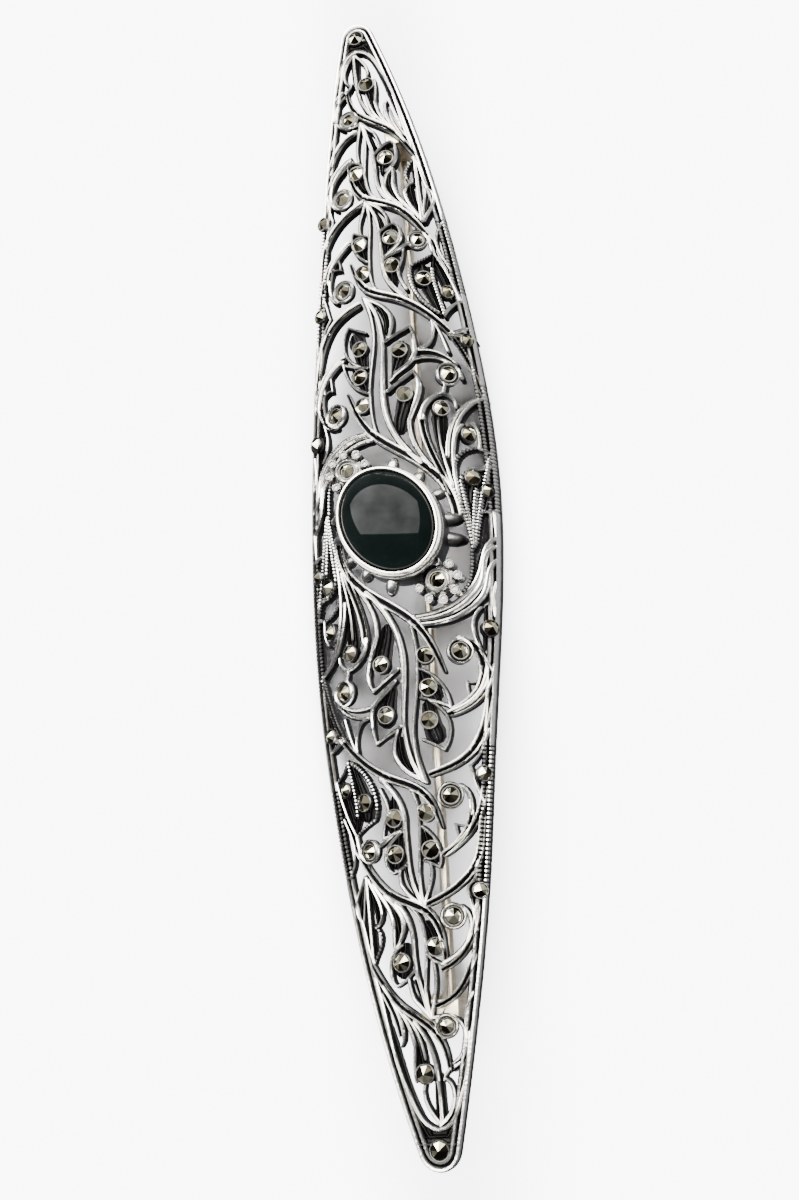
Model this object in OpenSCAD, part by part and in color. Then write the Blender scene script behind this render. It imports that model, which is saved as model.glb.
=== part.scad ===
// Pierced silver brooch, a long pointed oval in the leafy style of antique marcasite work
// Millimetres, lying on its back: +Z out of its face, +Y to the tip that carries the catch
// The design is the same after half a turn, so the tables hold one half of it

/* [Plate] */
// Length from tip to tip
plate_l = 104; // [96:1:110]
// Width across the middle
plate_w = 18; // [17:0.5:19]
// Radius of the rounded tips
tip_r = 1.7; // [1.4:0.1:2]
// Radius of the dome, under the plate
dome_r = 11; // [10.5:0.1:12]
// Thickness of the pierced plate
plate_t = 0.7; // [0.6:0.05:0.9]
// Height of the cast relief above the plate
relief_h = 0.35; // [0.2:0.05:0.5]
// Sway of the sides: each bulges towards one tip by this much and draws in towards the other
sway = 0.9; // [0:0.1:1.2]
// Draw-in of both sides between the middle and the tips
waist = 0.3; // [0:0.05:0.7]
// Width of the rim band
rim_w = 1.0; // [0.8:0.1:1.2]
// Narrowest gap that the piercing leaves open
gap_min = 0.6; // [0.4:0.05:0.6]

/* [Cabochon] */
// Length of the oval stone
cab_l = 10; // [9.5:0.1:10.5]
// Width of the oval stone
cab_w = 8; // [7.6:0.1:8.4]
// Height of its dome above the girdle
cab_h = 2.3; // [1.6:0.1:2.6]
// Turn of its long axis from +X
cab_turn = -59; // [-70:1:-50]
// Height of its girdle above the resting plane
cab_z = 6.6; // [6.3:0.1:7]
// Wall of the bezel cup
bezel_t = 0.5; // [0.4:0.05:0.6]
// Height of the bezel lip above the girdle
bezel_lip = 0.75; // [0.5:0.05:0.9]

/* [Marcasites] */
// Diameter of a large marcasite
stone_d = 1.3; // [1.2:0.05:1.4]
// Diameter of a small marcasite
stone_small_d = 1.1; // [1.0:0.05:1.2]
// Width of the collar round a marcasite
collar_w = 0.15; // [0.12:0.01:0.2]
// Clearance round a seated marcasite
seat_gap = 0.03; // [0.02:0.01:0.05]

/* [Pin stem] */
// Diameter of the pin stem
pin_d = 0.85; // [0.8:0.05:0.95]
// Height of the pin stem's centre line
pin_z = 1.15; // [1.1:0.05:1.3]
// Diameter of the rivet that the stem turns on
rivet_d = 0.8; // [0.7:0.05:0.9]
// Running clearance round the rivet
rivet_gap = 0.05; // [0.03:0.01:0.08]
// Width of the stem's eye
eye_w = 1.3; // [1.2:0.1:1.5]

/* [Hidden] */
$fn = 48;

half_w = plate_w / 2;
// Part of the half width that the sway adds
sway_room = 0.18;
axis_z = -sqrt(dome_r * dome_r - half_w * half_w);
top_r = dome_r + plate_t;
crown_r = top_r + relief_h;
// Steps along a side of the outline and round a tip
side_n = 14;
tip_n = 8;
// Depth that relief, collars and rings reach down into the plate
root_h = 0.2;
// Step along a band, and the share of a stem that its ridge takes
band_step = 2.0;
ridge_share = 0.55;
// Least sum of a stem's two widths for a ridge
bold_w = 1.25;
// Ledge of plain ground left outside a ridge
ledge = 0.07;
// Width of the plain foot round a collar, and height of a collar above the ridges
foot_w = 0.18;
collar_rise = 0.08;
// Wall of a free ring, how far it stands past its foot, and how far it stays below the ridges
ring_wall = 0.22;
ring_past = 0.05;
ring_drop = 0.05;
// Radius of the two arcs that meet at the tips, before the tips are rounded
arc_l = plate_l / 2 - tip_r;
arc_w = half_w - sway_room - tip_r;
side_r = (arc_l * arc_l + arc_w * arc_w) / (2 * arc_w);

// Curved stems, leaf edges and scrolls of one half, a row each
// Columns: start x, y and heading, end x, y and heading, width at the start and end, ridges
STEMS = [
    // Spray beside the stone: root, main stem and its curled end
    [-5.5, -0.6, -85, -4.6, -3.6, -60, 0.9, 0.9, 2],
    [-4.6, -3.6, -55, 1.2, -8.8, -45, 0.9, 0.9, 2],
    [1.2, -8.8, -50, 3.4, -13.3, -72, 0.85, 0.35, 2],
    // Long slit of the first spray, left side and right side
    [-2.9, -5.6, -45, 0.0, -12.0, -88, 0.6, 0.75, 1],
    [0.0, -12.0, -90, -0.35, -17.4, -92, 0.75, 0.45, 1],
    [-0.35, -17.4, -88, 1.0, -22.3, -55, 0.45, 0.5, 1],
    [0.9, -9.0, -75, 1.2, -13.0, -92, 0.4, 0.35, 1],
    [1.2, -13.0, -93, 0.45, -18.6, -92, 0.35, 0.4, 1],
    [0.45, -18.6, -88, 1.2, -22.4, -70, 0.4, 0.5, 1],
    // Leaves left of the slit
    [-3.8, -5.0, -55, -2.2, -9.6, -95, 0.5, 0.55, 1],
    [-2.2, -9.6, -110, -3.3, -12.9, -95, 0.5, 0.7, 1],
    [-3.3, -12.9, -88, -2.9, -14.3, -60, 0.6, 0.3, 1],
    [-2.9, -14.3, 35, -0.5, -12.7, 35, 0.4, 0.45, 1],
    [-1.3, -9.2, -95, -2.0, -12.0, -95, 1.2, 1.8, 0],
    [-0.8, -13.7, -125, -3.2, -16.2, -100, 0.4, 0.6, 1],
    [-3.2, -16.2, -90, -2.9, -18.8, -70, 0.6, 0.3, 1],
    [-2.9, -18.8, 30, -0.6, -17.6, 30, 0.35, 0.4, 1],
    [-1.2, -14.4, -110, -1.9, -16.6, -100, 0.8, 1.9, 0],
    [-0.9, -17.9, -115, -1.3, -20.0, -80, 0.35, 0.55, 1],
    [-1.3, -20.0, -72, 1.2, -22.4, -28, 0.55, 0.4, 1],
    [-0.8, -18.6, -88, -0.2, -21.2, -55, 0.5, 0.6, 0],
    // Leaves right of the slit
    [1.3, -12.9, -20, 3.7, -16.4, -85, 0.35, 0.35, 1],
    [3.7, -16.4, 150, 1.3, -15.4, 165, 0.35, 0.35, 1],
    [1.6, -13.6, -80, 2.2, -15.0, -60, 1.0, 1.8, 0],
    [2.0, -15.7, -35, 3.5, -18.2, -95, 0.35, 0.35, 1],
    [3.5, -18.2, -95, 2.9, -19.9, -125, 0.35, 0.3, 1],
    [2.9, -19.9, 145, 1.2, -18.9, 150, 0.3, 0.35, 1],
    [1.8, -16.2, -80, 2.2, -18.4, -70, 1.2, 1.8, 0],
    // Fronds left of the root
    [-5.2, -2.6, -75, -3.3, -9.8, -90, 0.6, 0.75, 2],
    [-3.3, -9.8, -92, -5.3, -12.0, -172, 0.7, 0.5, 1],
    [-5.3, -12.0, 165, -6.2, -10.7, 75, 0.5, 0.35, 1],
    [-5.0, -5.0, -82, -4.7, -9.8, -92, 0.6, 1.4, 0],
    [-5.4, -3.2, -80, -4.6, -9.4, -92, 0.45, 0.2, 1],
    [-5.8, -2.6, -84, -8.6, -11.9, -152, 0.5, 0.35, 1],
    [-5.2, -6.0, -92, -8.6, -11.9, -165, 0.5, 0.3, 1],
    [-5.4, -5.5, -88, -8.5, -11.8, -158, 1.0, 0.6, 0],
    [-5.95, -1.5, -88, -5.9, -5.8, -115, 0.5, 0.5, 1],
    [-5.9, -5.8, -120, -7.9, -6.8, 165, 0.5, 0.3, 1],
    [-7.8, -6.8, -90, -7.4, -9.2, -50, 0.35, 0.4, 1],
    [-5.6, -6.2, -110, -6.6, -9.0, -140, 0.4, 0.4, 1],
    [-8.6, -6.5, -20, -7.6, -6.9, -10, 0.4, 0.4, 1],
    // Scroll left of the leaves, with its curled leaf
    [-6.9, -13.6, -88, -3.1, -15.5, 20, 0.45, 0.4, 1],
    [-6.6, -15.0, -50, -3.5, -16.4, 5, 0.35, 0.35, 1],
    [-3.6, -16.5, -178, -4.9, -19.2, -80, 0.4, 0.4, 1],
    [-6.0, -16.2, -75, -4.9, -19.3, -60, 0.4, 0.35, 1],
    [-5.3, -12.0, -90, -5.5, -13.0, -90, 0.4, 0.4, 1],
    // Stem down the left rim to the second spray
    [-8.5, -11.9, -75, -6.3, -17.9, -60, 0.5, 0.5, 1],
    [-8.3, -12.6, -82, -7.6, -16.8, -75, 0.5, 1.0, 0],
    [-8.3, -17.6, -5, -6.2, -17.9, 5, 0.5, 0.5, 1],
    // Second spray
    [-6.5, -17.8, -52, -2.3, -21.6, -30, 0.6, 0.8, 2],
    [-2.3, -21.6, -28, 0.8, -23.2, -40, 0.8, 0.8, 2],
    [0.8, -23.2, -45, 2.2, -26.2, -75, 0.8, 0.3, 2],
    [-2.8, -21.8, -40, -0.9, -25.2, -85, 0.55, 0.6, 1],
    [-0.9, -25.2, -92, -0.8, -28.6, -88, 0.6, 0.4, 1],
    [-0.8, -28.6, -88, 0.1, -32.0, -60, 0.4, 0.45, 1],
    [-0.2, -22.9, -50, 0.35, -25.6, -90, 0.4, 0.35, 1],
    [0.35, -25.6, -90, 0.05, -29.6, -94, 0.35, 0.35, 1],
    [0.05, -29.6, -90, 0.2, -32.2, -80, 0.35, 0.45, 1],
    [-2.9, -22.6, -65, -2.3, -24.6, -95, 0.4, 0.4, 1],
    [-2.3, -24.6, -115, -2.9, -26.6, -95, 0.35, 0.3, 1],
    [-2.9, -26.7, 25, -0.9, -25.8, 45, 0.35, 0.35, 1],
    [-1.7, -23.6, -90, -1.8, -25.6, -90, 0.9, 1.7, 0],
    [-3.3, -27.2, 20, -1.9, -26.3, 35, 0.4, 0.4, 1],
    [-1.3, -26.3, -140, -2.8, -28.2, -92, 0.35, 0.5, 1],
    [-2.8, -28.2, -88, -2.2, -29.5, -30, 0.5, 0.3, 1],
    [-2.2, -29.5, 15, -0.8, -28.8, 35, 0.3, 0.35, 1],
    [-1.5, -26.9, -100, -1.9, -28.4, -100, 0.7, 1.7, 0],
    [-1.6, -29.3, -100, -1.5, -30.6, -65, 0.35, 0.45, 1],
    [-1.5, -30.6, -60, 0.2, -32.2, -30, 0.45, 0.4, 1],
    [-1.1, -29.2, -85, -0.3, -31.4, -60, 0.5, 0.5, 0],
    [0.6, -26.0, -40, 1.9, -28.4, -90, 0.35, 0.35, 1],
    [1.9, -28.4, -92, 1.7, -29.3, -130, 0.35, 0.3, 1],
    [1.7, -29.3, 150, 0.5, -28.7, 165, 0.3, 0.3, 1],
    [0.8, -26.6, -80, 1.2, -28.2, -70, 0.6, 1.6, 0],
    [1.0, -28.9, -75, 0.3, -32.2, -105, 0.35, 0.4, 1],
    // Milled leaves under the second root
    [-7.6, -18.6, 30, -6.4, -18.0, 20, 0.5, 0.5, 1],
    [-5.6, -20.0, -35, -3.3, -24.0, -88, 0.5, 0.55, 1],
    [-3.3, -24.0, -95, -3.6, -25.1, -130, 0.5, 0.35, 1],
    [-6.0, -19.8, -82, -5.3, -24.6, -92, 0.5, 0.45, 1],
    [-5.3, -24.6, -100, -5.5, -26.2, -95, 0.8, 0.25, 0],
    [-5.4, -20.6, -75, -4.5, -24.2, -85, 0.7, 1.8, 0],
    [-3.5, -25.0, -155, -5.5, -26.2, -140, 0.4, 0.3, 1],
    [-7.4, -21.4, -75, -5.5, -26.2, -60, 0.45, 0.35, 1],
    [-7.2, -21.3, 40, -6.0, -19.9, 65, 0.35, 0.4, 1],
    [-6.6, -21.8, -75, -5.7, -24.8, -70, 0.9, 1.0, 0],
    [-5.5, -26.2, -80, -5.2, -27.8, -80, 0.5, 0.5, 1],
    [-6.8, -24.6, -65, -5.8, -27.6, -88, 0.35, 0.35, 1],
    [-5.8, -27.6, -95, -6.5, -29.5, -125, 0.35, 0.3, 1],
    // Third spray
    [-5.5, -27.3, -60, -2.9, -30.9, -42, 0.6, 0.75, 2],
    [-2.9, -30.9, -38, 0.3, -32.6, -32, 0.75, 0.8, 2],
    [0.3, -32.6, -38, 1.65, -36.6, -88, 0.75, 0.35, 2],
    [-5.0, -29.6, -110, -6.0, -32.0, -95, 0.4, 0.4, 1],
    [-6.0, -32.0, -90, -5.3, -33.2, -20, 0.4, 0.3, 1],
    [-4.9, -30.0, -98, -5.3, -33.0, -95, 0.35, 0.3, 1],
    [-5.2, -30.6, -100, -5.6, -32.4, -95, 0.4, 0.6, 0],
    [-4.8, -29.6, -88, -4.6, -36.3, -88, 0.5, 0.4, 1],
    [-4.6, -29.8, -72, -3.5, -32.6, -88, 0.45, 0.5, 1],
    [-3.5, -32.6, -95, -4.1, -33.6, -165, 0.45, 0.35, 1],
    [-4.4, -30.6, -80, -4.0, -33.2, -90, 0.4, 0.6, 0],
    [-4.2, -30.2, -55, -2.5, -33.6, -85, 0.5, 0.55, 1],
    [-2.5, -33.6, -92, -2.6, -35.3, -95, 0.5, 0.35, 1],
    [-3.1, -31.2, -45, -1.6, -33.4, -75, 0.5, 0.6, 1],
    [-1.6, -33.4, -90, -2.5, -35.4, -140, 0.6, 0.3, 1],
    [-2.6, -32.0, -65, -2.1, -34.9, -95, 0.5, 0.4, 0],
    [-2.1, -31.9, -40, -0.9, -34.8, -85, 0.5, 0.5, 1],
    [-0.9, -34.8, -92, -0.75, -37.6, -82, 0.5, 0.45, 1],
    [-0.75, -37.6, -75, 0.1, -40.8, -70, 0.45, 0.4, 1],
    [-0.9, -32.3, -35, 0.15, -35.0, -85, 0.4, 0.4, 1],
    [0.15, -35.0, -90, -0.15, -38.6, -93, 0.4, 0.35, 1],
    [-0.15, -38.6, -90, 0.1, -40.8, -80, 0.35, 0.4, 1],
    [0.2, -36.0, -60, 1.6, -36.9, -20, 0.35, 0.3, 1],
    [0.3, -33.6, -60, 1.0, -35.6, -75, 0.5, 1.2, 0],
    [0.65, -36.7, -80, 0.2, -40.8, -100, 0.35, 0.4, 1],
    [-1.9, -35.2, -160, -3.0, -37.0, -90, 0.35, 0.5, 1],
    [-3.0, -37.0, -88, -2.5, -38.3, -20, 0.5, 0.35, 1],
    [-2.5, -38.3, 20, -1.0, -37.2, 45, 0.35, 0.35, 1],
    [-1.6, -35.3, -95, -2.0, -37.0, -95, 0.7, 1.6, 0],
    [-1.5, -37.8, -85, -1.1, -39.4, -60, 0.35, 0.45, 1],
    [-1.1, -39.4, -50, 0.2, -40.8, -40, 0.45, 0.4, 1],
    [-1.0, -38.0, -75, -0.3, -39.9, -60, 0.4, 0.4, 0],
    [-5.5, -33.0, -70, -4.5, -36.4, -60, 0.4, 0.35, 1],
    [-4.3, -33.6, -20, -3.7, -34.6, -95, 0.35, 0.35, 1],
    [-3.7, -34.6, -95, -4.5, -36.4, -115, 0.35, 0.3, 1],
    [-4.6, -33.6, -85, -4.5, -35.6, -85, 0.7, 0.7, 0],
    // Fourth spray, by the tip
    [-4.7, -36.6, -60, -2.2, -39.9, -40, 0.5, 0.65, 2],
    [-2.2, -39.9, -36, 0.3, -41.8, -45, 0.65, 0.65, 2],
    [0.3, -41.8, -50, 1.3, -44.8, -88, 0.65, 0.3, 2],
    [-3.9, -38.2, -55, -2.3, -41.6, -80, 0.4, 0.5, 1],
    [-2.3, -41.6, -88, -2.5, -42.8, -130, 0.5, 0.3, 1],
    [-4.0, -38.8, -62, -2.7, -42.0, -80, 0.3, 0.25, 1],
    [-2.9, -39.6, -48, -1.4, -42.8, -80, 0.4, 0.45, 1],
    [-1.4, -42.8, -92, -1.5, -45.4, -80, 0.4, 0.35, 1],
    [-2.1, -40.4, -45, -0.6, -43.8, -82, 0.35, 0.35, 1],
    [-1.9, -40.6, -55, -0.8, -44.4, -85, 0.5, 0.9, 0],
    [-1.3, -41.0, -50, 0.2, -44.2, -80, 0.4, 0.5, 1],
    [0.2, -44.2, -85, 0.35, -48.4, -92, 0.5, 0.4, 1],
    [-0.8, -45.7, -110, 0.2, -48.5, -50, 0.35, 0.4, 1],
    [0.9, -45.3, -30, 1.45, -46.7, -95, 0.35, 0.4, 1],
    [1.45, -46.7, -98, 0.2, -48.6, -150, 0.4, 0.4, 1],
    [0.3, -45.2, -88, 0.3, -48.2, -90, 0.8, 1.0, 0],
    [1.3, -44.6, -120, 0.8, -45.4, -90, 0.35, 0.35, 1],
    // Bands that sweep in from the right rim
    [8.9, -1.5, -145, 6.8, -5.0, -112, 0.5, 0.6, 2],
    [6.8, -5.0, -112, 1.3, -8.3, 178, 0.6, 0.5, 2],
    [8.9, -3.6, -135, 6.9, -6.9, -122, 0.5, 0.65, 2],
    [6.9, -6.9, -125, 1.9, -9.1, 175, 0.65, 0.5, 2],
    [8.6, -2.5, -140, 6.85, -5.9, -115, 1.0, 1.3, 0],
    [6.85, -5.9, -118, 1.8, -8.7, 176, 1.3, 1.0, 0],
    [7.9, -13.2, -100, 3.7, -16.9, -165, 0.9, 0.7, 2],
    [7.5, -15.2, -105, 5.2, -19.9, -125, 0.6, 0.8, 2],
    [5.2, -19.9, -128, 1.7, -21.8, -165, 0.8, 0.6, 2],
    [6.4, -23.4, -100, 2.3, -28.3, -152, 0.6, 0.55, 2],
    [6.1, -25.6, -102, 4.2, -29.8, -128, 0.55, 0.7, 2],
    [4.2, -29.8, -130, 0.6, -32.1, -160, 0.7, 0.6, 2],
    [5.0, -32.6, -98, 1.4, -37.2, -160, 0.5, 0.45, 2],
    [4.6, -36.4, -112, 0.7, -39.9, -165, 0.55, 0.5, 2],
    [3.5, -41.8, -98, 1.7, -44.7, -155, 0.45, 0.35, 2],
    // Scrolls right of the leaves, with their thorns
    [4.8, -10.6, 0, 6.5, -13.4, -92, 0.5, 0.9, 2],
    [6.5, -13.4, -92, 4.0, -16.6, -160, 0.9, 0.6, 2],
    [6.1, -14.2, -150, 5.0, -14.3, 150, 0.35, 0.2, 1],
    [5.1, -14.3, -90, 5.2, -15.7, -90, 0.3, 0.3, 1],
    [3.9, -22.9, -30, 4.6, -25.2, -95, 0.45, 0.55, 1],
    [4.6, -25.2, -98, 2.2, -28.3, -148, 0.55, 0.5, 2],
    [4.3, -26.2, -165, 3.2, -26.0, 160, 0.3, 0.2, 1],
    [3.3, -26.1, -95, 3.5, -27.2, -80, 0.3, 0.3, 1],
    [3.2, -32.5, -35, 3.8, -34.2, -95, 0.4, 0.5, 1],
    [3.8, -34.2, -98, 1.3, -36.8, -155, 0.5, 0.4, 1],
    [1.9, -40.8, -30, 2.7, -42.4, -92, 0.35, 0.4, 1],
    [2.7, -42.4, -95, 1.6, -44.2, -150, 0.4, 0.3, 1],
    [3.5, -39.1, -120, 2.8, -41.6, -85, 0.35, 0.35, 1],
    [1.0, -40.6, 10, 0.1, -40.8, 180, 0.35, 0.4, 1],
    // Small leaves along the right rim
    [6.7, -7.9, -140, 6.0, -10.0, -85, 0.35, 0.4, 1],
    [6.0, -10.0, -80, 7.3, -13.6, -65, 0.4, 0.35, 1],
    [8.3, -5.6, -110, 7.8, -8.7, -85, 0.4, 0.4, 1],
    [7.3, -8.0, -90, 7.3, -11.2, -90, 1.0, 1.2, 0],
    [6.8, -18.4, -120, 4.8, -21.4, -140, 0.4, 0.25, 1],
    [4.8, -21.4, -75, 5.8, -24.6, -68, 0.35, 0.35, 1],
    [6.1, -20.4, -95, 5.9, -23.4, -90, 0.7, 1.0, 0],
    [5.9, -28.8, -155, 4.3, -30.6, -125, 0.35, 0.35, 1],
    [4.3, -30.6, -150, 3.8, -31.4, -80, 0.3, 0.35, 1],
    [3.8, -31.4, -75, 4.5, -34.4, -85, 0.35, 0.35, 1],
    [4.8, -30.6, -90, 4.7, -33.0, -90, 0.9, 0.8, 0],
    // Milled leaves beside the stone
    [6.5, -2.6, 95, 5.5, 3.0, 105, 0.35, 0.6, 1],
    [6.6, -2.6, 92, 6.1, 3.4, 98, 0.4, 0.55, 1],
    [6.7, -2.4, 88, 7.2, 2.8, 82, 0.45, 0.65, 1],
    [6.8, -2.2, 80, 8.2, 4.6, 75, 0.45, 0.6, 1],
    [6.1, 3.4, 95, 7.3, 5.0, 10, 0.45, 0.4, 1],
    [6.7, 2.0, 90, 7.0, 4.0, 90, 1.0, 1.6, 0],
    [7.7, 1.0, 70, 8.5, 3.2, 80, 0.8, 1.2, 0],
    [8.2, 4.6, 78, 8.9, 6.2, 60, 0.6, 0.5, 1],
    [7.2, 4.9, -20, 8.4, 5.2, 20, 0.5, 0.5, 1],
    [7.6, 0.9, 0, 8.9, 1.0, 10, 0.4, 0.5, 1],
    [8.4, 0.8, -90, 8.5, -1.4, -90, 0.4, 0.4, 1],
    [6.4, -2.6, -92, 5.2, -6.7, -135, 0.4, 0.4, 1],
    // Inner band of the rim round the tip
    [-4.5, -37.6, -72, -2.3, -46.0, -66, 0.45, 0.45, 1],
    [-2.3, -46.0, -66, 0.1, -48.95, -5, 0.45, 0.45, 1],
    [0.1, -48.95, 5, 2.4, -45.9, 68, 0.45, 0.4, 1],
    [2.4, -45.9, 72, 3.4, -42.0, 80, 0.4, 0.4, 1],
    [-3.7, -41.5, -72, -0.9, -49.2, -58, 0.9, 1.0, 0],
    [3.0, -44.0, -108, 0.9, -49.2, -122, 0.5, 0.9, 0],
    [-1.2, -50.0, 0, 1.2, -50.0, 0, 2.0, 2.0, 0],
];

// Marcasites of one half, a row each
// Columns: x, y, 1 for a large one and 0 for a small one, 1 where it stands on the lip of the rim
STONES = [
    [0.0, -50.4, 1, 0], [-0.7, -44.9, 1, 0], [1.3, -41.45, 0, 0], [-1.95, -36.5, 1, 0],
    [0.95, -35.45, 1, 0], [2.5, -33.2, 1, 0], [4.75, -31.4, 0, 1], [-1.85, -28.0, 1, 0],
    [1.15, -27.9, 1, 0], [-4.2, -27.55, 0, 0], [-1.75, -25.1, 1, 0], [1.0, -24.9, 1, 0],
    [-4.45, -23.5, 1, 0], [-6.35, -22.2, 0, 0], [3.05, -23.65, 1, 0], [5.8, -22.1, 0, 1],
    [1.85, -17.35, 1, 0], [-1.8, -16.5, 1, 0], [-7.6, -17.3, 0, 1], [2.0, -14.6, 1, 0],
    [-5.75, -13.9, 1, 0], [-1.95, -12.15, 1, 0], [1.95, -11.8, 1, 0], [4.75, -11.65, 1, 0],
    [-4.95, -10.55, 1, 0], [-7.0, -8.1, 1, 0], [7.3, -9.8, 1, 1], [6.95, 4.0, 1, 0],
    [8.1, 2.75, 0, 1],
];

// Scroll rings that stand free round a marcasite: x, y and outer radius
RINGS = [
    [4.75, -11.65, 1.15], [3.05, -23.65, 1.1], [2.5, -33.2, 1.05],
    [1.3, -41.45, 0.95], [-5.75, -13.9, 1.15], [-4.2, -27.55, 1.0],
];

// Pegs that join the bezel to the openwork: start x and y, end x and y, diameter
PEGS = [
    [-3.6, -2.2, -4.8, -2.7, 0.8], [-2.3, -3.4, -2.9, -4.6, 0.9], [-0.2, -4.4, -0.6, -6.3, 0.9],
    [3.4, -1.5, 6.2, -1.9, 1.0], [3.6, 0.1, 6.0, 0.1, 1.0],
];

// Rosette beside the bezel, in the lower half
rosette_at = [3.7, -5.6];
// Height of the rosette above the dome
rosette_rise = 1.3;
rosette_seat_z = axis_z + sqrt(pow(dome_r + plate_t, 2) - pow(rosette_at[0], 2)) + rosette_rise - 0.4;
// Circle that its beads stand on and radius of a bead
bead_ring_r = 1.72;
bead_r = 0.42;
// Lift of a marcasite off its seat
stone_lift = 0.03;
// Heading of the first bead, step between beads and their number
bead_from = -165;
bead_step = 43;
bead_n = 7;

// Bezel and pocket of the cabochon
pocket_gap = 0.05;
pocket_z = cab_z - 0.6;
bezel_foot_z = axis_z + sqrt(dome_r * dome_r - 16);
bezel_top_z = cab_z + bezel_lip;

// Pin stem and its hinge under the lower half, catch under the upper half
pin_from = [0.74, -40.3];
pin_to = [2.78, 39.6];
pin_l = norm(pin_to - pin_from);
pin_turn = atan2(pin_to[1] - pin_from[1], pin_to[0] - pin_from[0]) - 90;
pin_past = 2.6;
point_l = 5;
lug_r = pin_z;
lug_w = 0.8;
lug_gap = 0.08;
eye_r = 0.95;
head_r = 0.62;
head_h = 0.25;
rivet_fit = 0.01;
solder_z = 4.95;
pad_h = 0.5;
pad_l = 1.7;
lug_neck = 1.5;
catch_z = 4.6;
catch_w = 1.9;
catch_l = 2.6;
catch_gap = 0.09;

// Point and direction of a curve that leaves and arrives with given headings
function heading(a) = [cos(a), sin(a)];
function reach(s) = 1.1 * norm([s[3] - s[0], s[4] - s[1]]);
function curve_at(s, t) =
    (2 * t * t * t - 3 * t * t + 1) * [s[0], s[1]]
    + (t * t * t - 2 * t * t + t) * reach(s) * heading(s[2])
    + (3 * t * t - 2 * t * t * t) * [s[3], s[4]]
    + (t * t * t - t * t) * reach(s) * heading(s[5]);
function curve_side(s, t) =
    let (d = curve_at(s, min(t + 0.01, 1)) - curve_at(s, max(t - 0.01, 0)))
    [-d[1], d[0]] / norm(d);
function curve_w(s, t) = s[6] + (s[7] - s[6]) * t;
function stone_r(k) = (k == 1 ? stone_d : stone_small_d) / 2;
function collar_r(k) = stone_r(k) + seat_gap + collar_w;

// Flat band along a curve, of a share of its width, with rounded or plain ends
module band(s, share, rounded = true) {
    n = max(2, ceil(reach(s) / band_step));
    ts = [for (i = [0:n]) i / n];
    left = [for (t = ts) curve_at(s, t) + curve_side(s, t) * curve_w(s, t) * share / 2];
    right = [for (i = [n:-1:0]) curve_at(s, ts[i]) - curve_side(s, ts[i]) * curve_w(s, ts[i]) * share / 2];
    polygon(concat(left, right));
    if (rounded) for (e = [0, 1]) translate(curve_at(s, e)) circle(d = curve_w(s, e) * share, $fn = 6);
}

// What is drawn for one half comes back after half a turn
module both_halves() {
    children();
    rotate(180) children();
}

// Sideways shift of the right side of the outline, which gives it the sway of a leaf
function swing(y) = sin(360 * y / plate_l);
function side_shift(y) = sway * swing(y) - waist * swing(y) * swing(y);

// Outline of the brooch: two swaying arcs that meet in rounded tips
module outline(inset = 0) {
    side_a = asin(arc_l / side_r);
    r = side_r + tip_r - inset;
    side = [for (i = [-side_n:side_n]) let (a = side_a * i / side_n, y = r * sin(a))
        [arc_w - side_r + r * cos(a) + side_shift(y), y]];
    tip = [for (i = [1:tip_n - 1]) let (a = side_a + (180 - 2 * side_a) * i / tip_n, y = arc_l + (tip_r - inset) * sin(a))
        [(tip_r - inset) * cos(a) + sway * swing(y), y]];
    polygon(concat(side, tip, -side, -tip));
}

// Oval of the cabochon, larger all round by grow
module oval(grow = 0, sides = 48) {
    rotate(cab_turn) scale([1, (cab_w / 2 + grow) / (cab_l / 2 + grow)]) circle(r = cab_l / 2 + grow, $fn = sides);
}

module rosette_2d() {
    circle(r = collar_r(1) + foot_w, $fn = 24);
    for (i = [0:bead_n - 1]) rotate(bead_from + i * bead_step) {
        translate([bead_ring_r, 0]) circle(r = bead_r, $fn = 12);
        translate([bead_ring_r / 2, 0]) square([bead_ring_r, bead_r * 1.3], center = true);
    }
}

// Ground of the openwork: everything that the piercing leaves
module ground_2d() {
    offset(delta = -gap_min / 2, chamfer = true) offset(delta = gap_min / 2, chamfer = true) intersection() {
        outline();
        union() {
            difference() {
                outline();
                outline(rim_w);
            }
            both_halves() {
                for (s = STEMS) band(s, 1);
                for (m = STONES) translate([m[0], m[1]]) circle(r = collar_r(m[2]) + foot_w, $fn = 12);
                for (g = RINGS) translate([g[0], g[1]]) circle(r = g[2], $fn = 12);
                translate(rosette_at) rosette_2d();
            }
            oval(bezel_t * 0.4, 24);
        }
    }
}

// Relief: a raised ridge along each main stem, and the lip of the rim
module relief_2d() {
    offset(delta = 0.001) difference() {
        union() {
            difference() {
                outline(ledge);
                outline(rim_w * 0.45);
            }
            both_halves() for (s = STEMS) if (s[8] == 2 && s[6] + s[7] > bold_w) intersection() {
                outline(2 * ledge);
                band(s, ridge_share, false);
            }
        }
        oval(bezel_t / 2);
    }
}

// Part of a flat drawing that lies between two radii of the dome
module on_dome(low_r, high_r) {
    intersection() {
        translate([0, 0, -1]) linear_extrude(height = 12) children();
        translate([0, 0, axis_z]) rotate([90, 0, 0]) difference() {
            cylinder(r = high_r, h = plate_l + 10, center = true);
            cylinder(r = low_r, h = plate_l + 12, center = true);
        }
    }
}

// Frame of a place on the dome, z out of its surface
module on_surface(x, y, r) {
    translate([0, y, axis_z]) rotate([0, asin(x / r), 0]) translate([0, 0, r]) children();
}

// Upright round post on the dome, from inside the plate up to a height above the ridges
module post(x, y, r, low, high) {
    on_surface(x, y, top_r) translate([0, 0, low]) cylinder(r = r, h = high - low);
}

// Open tube on the dome: a collar round a marcasite, or a free ring
module tube(x, y, r, wall, high) {
    difference() {
        post(x, y, r, -root_h, high);
        post(x, y, r - wall, -plate_t, high + 1);
    }
}

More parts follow.
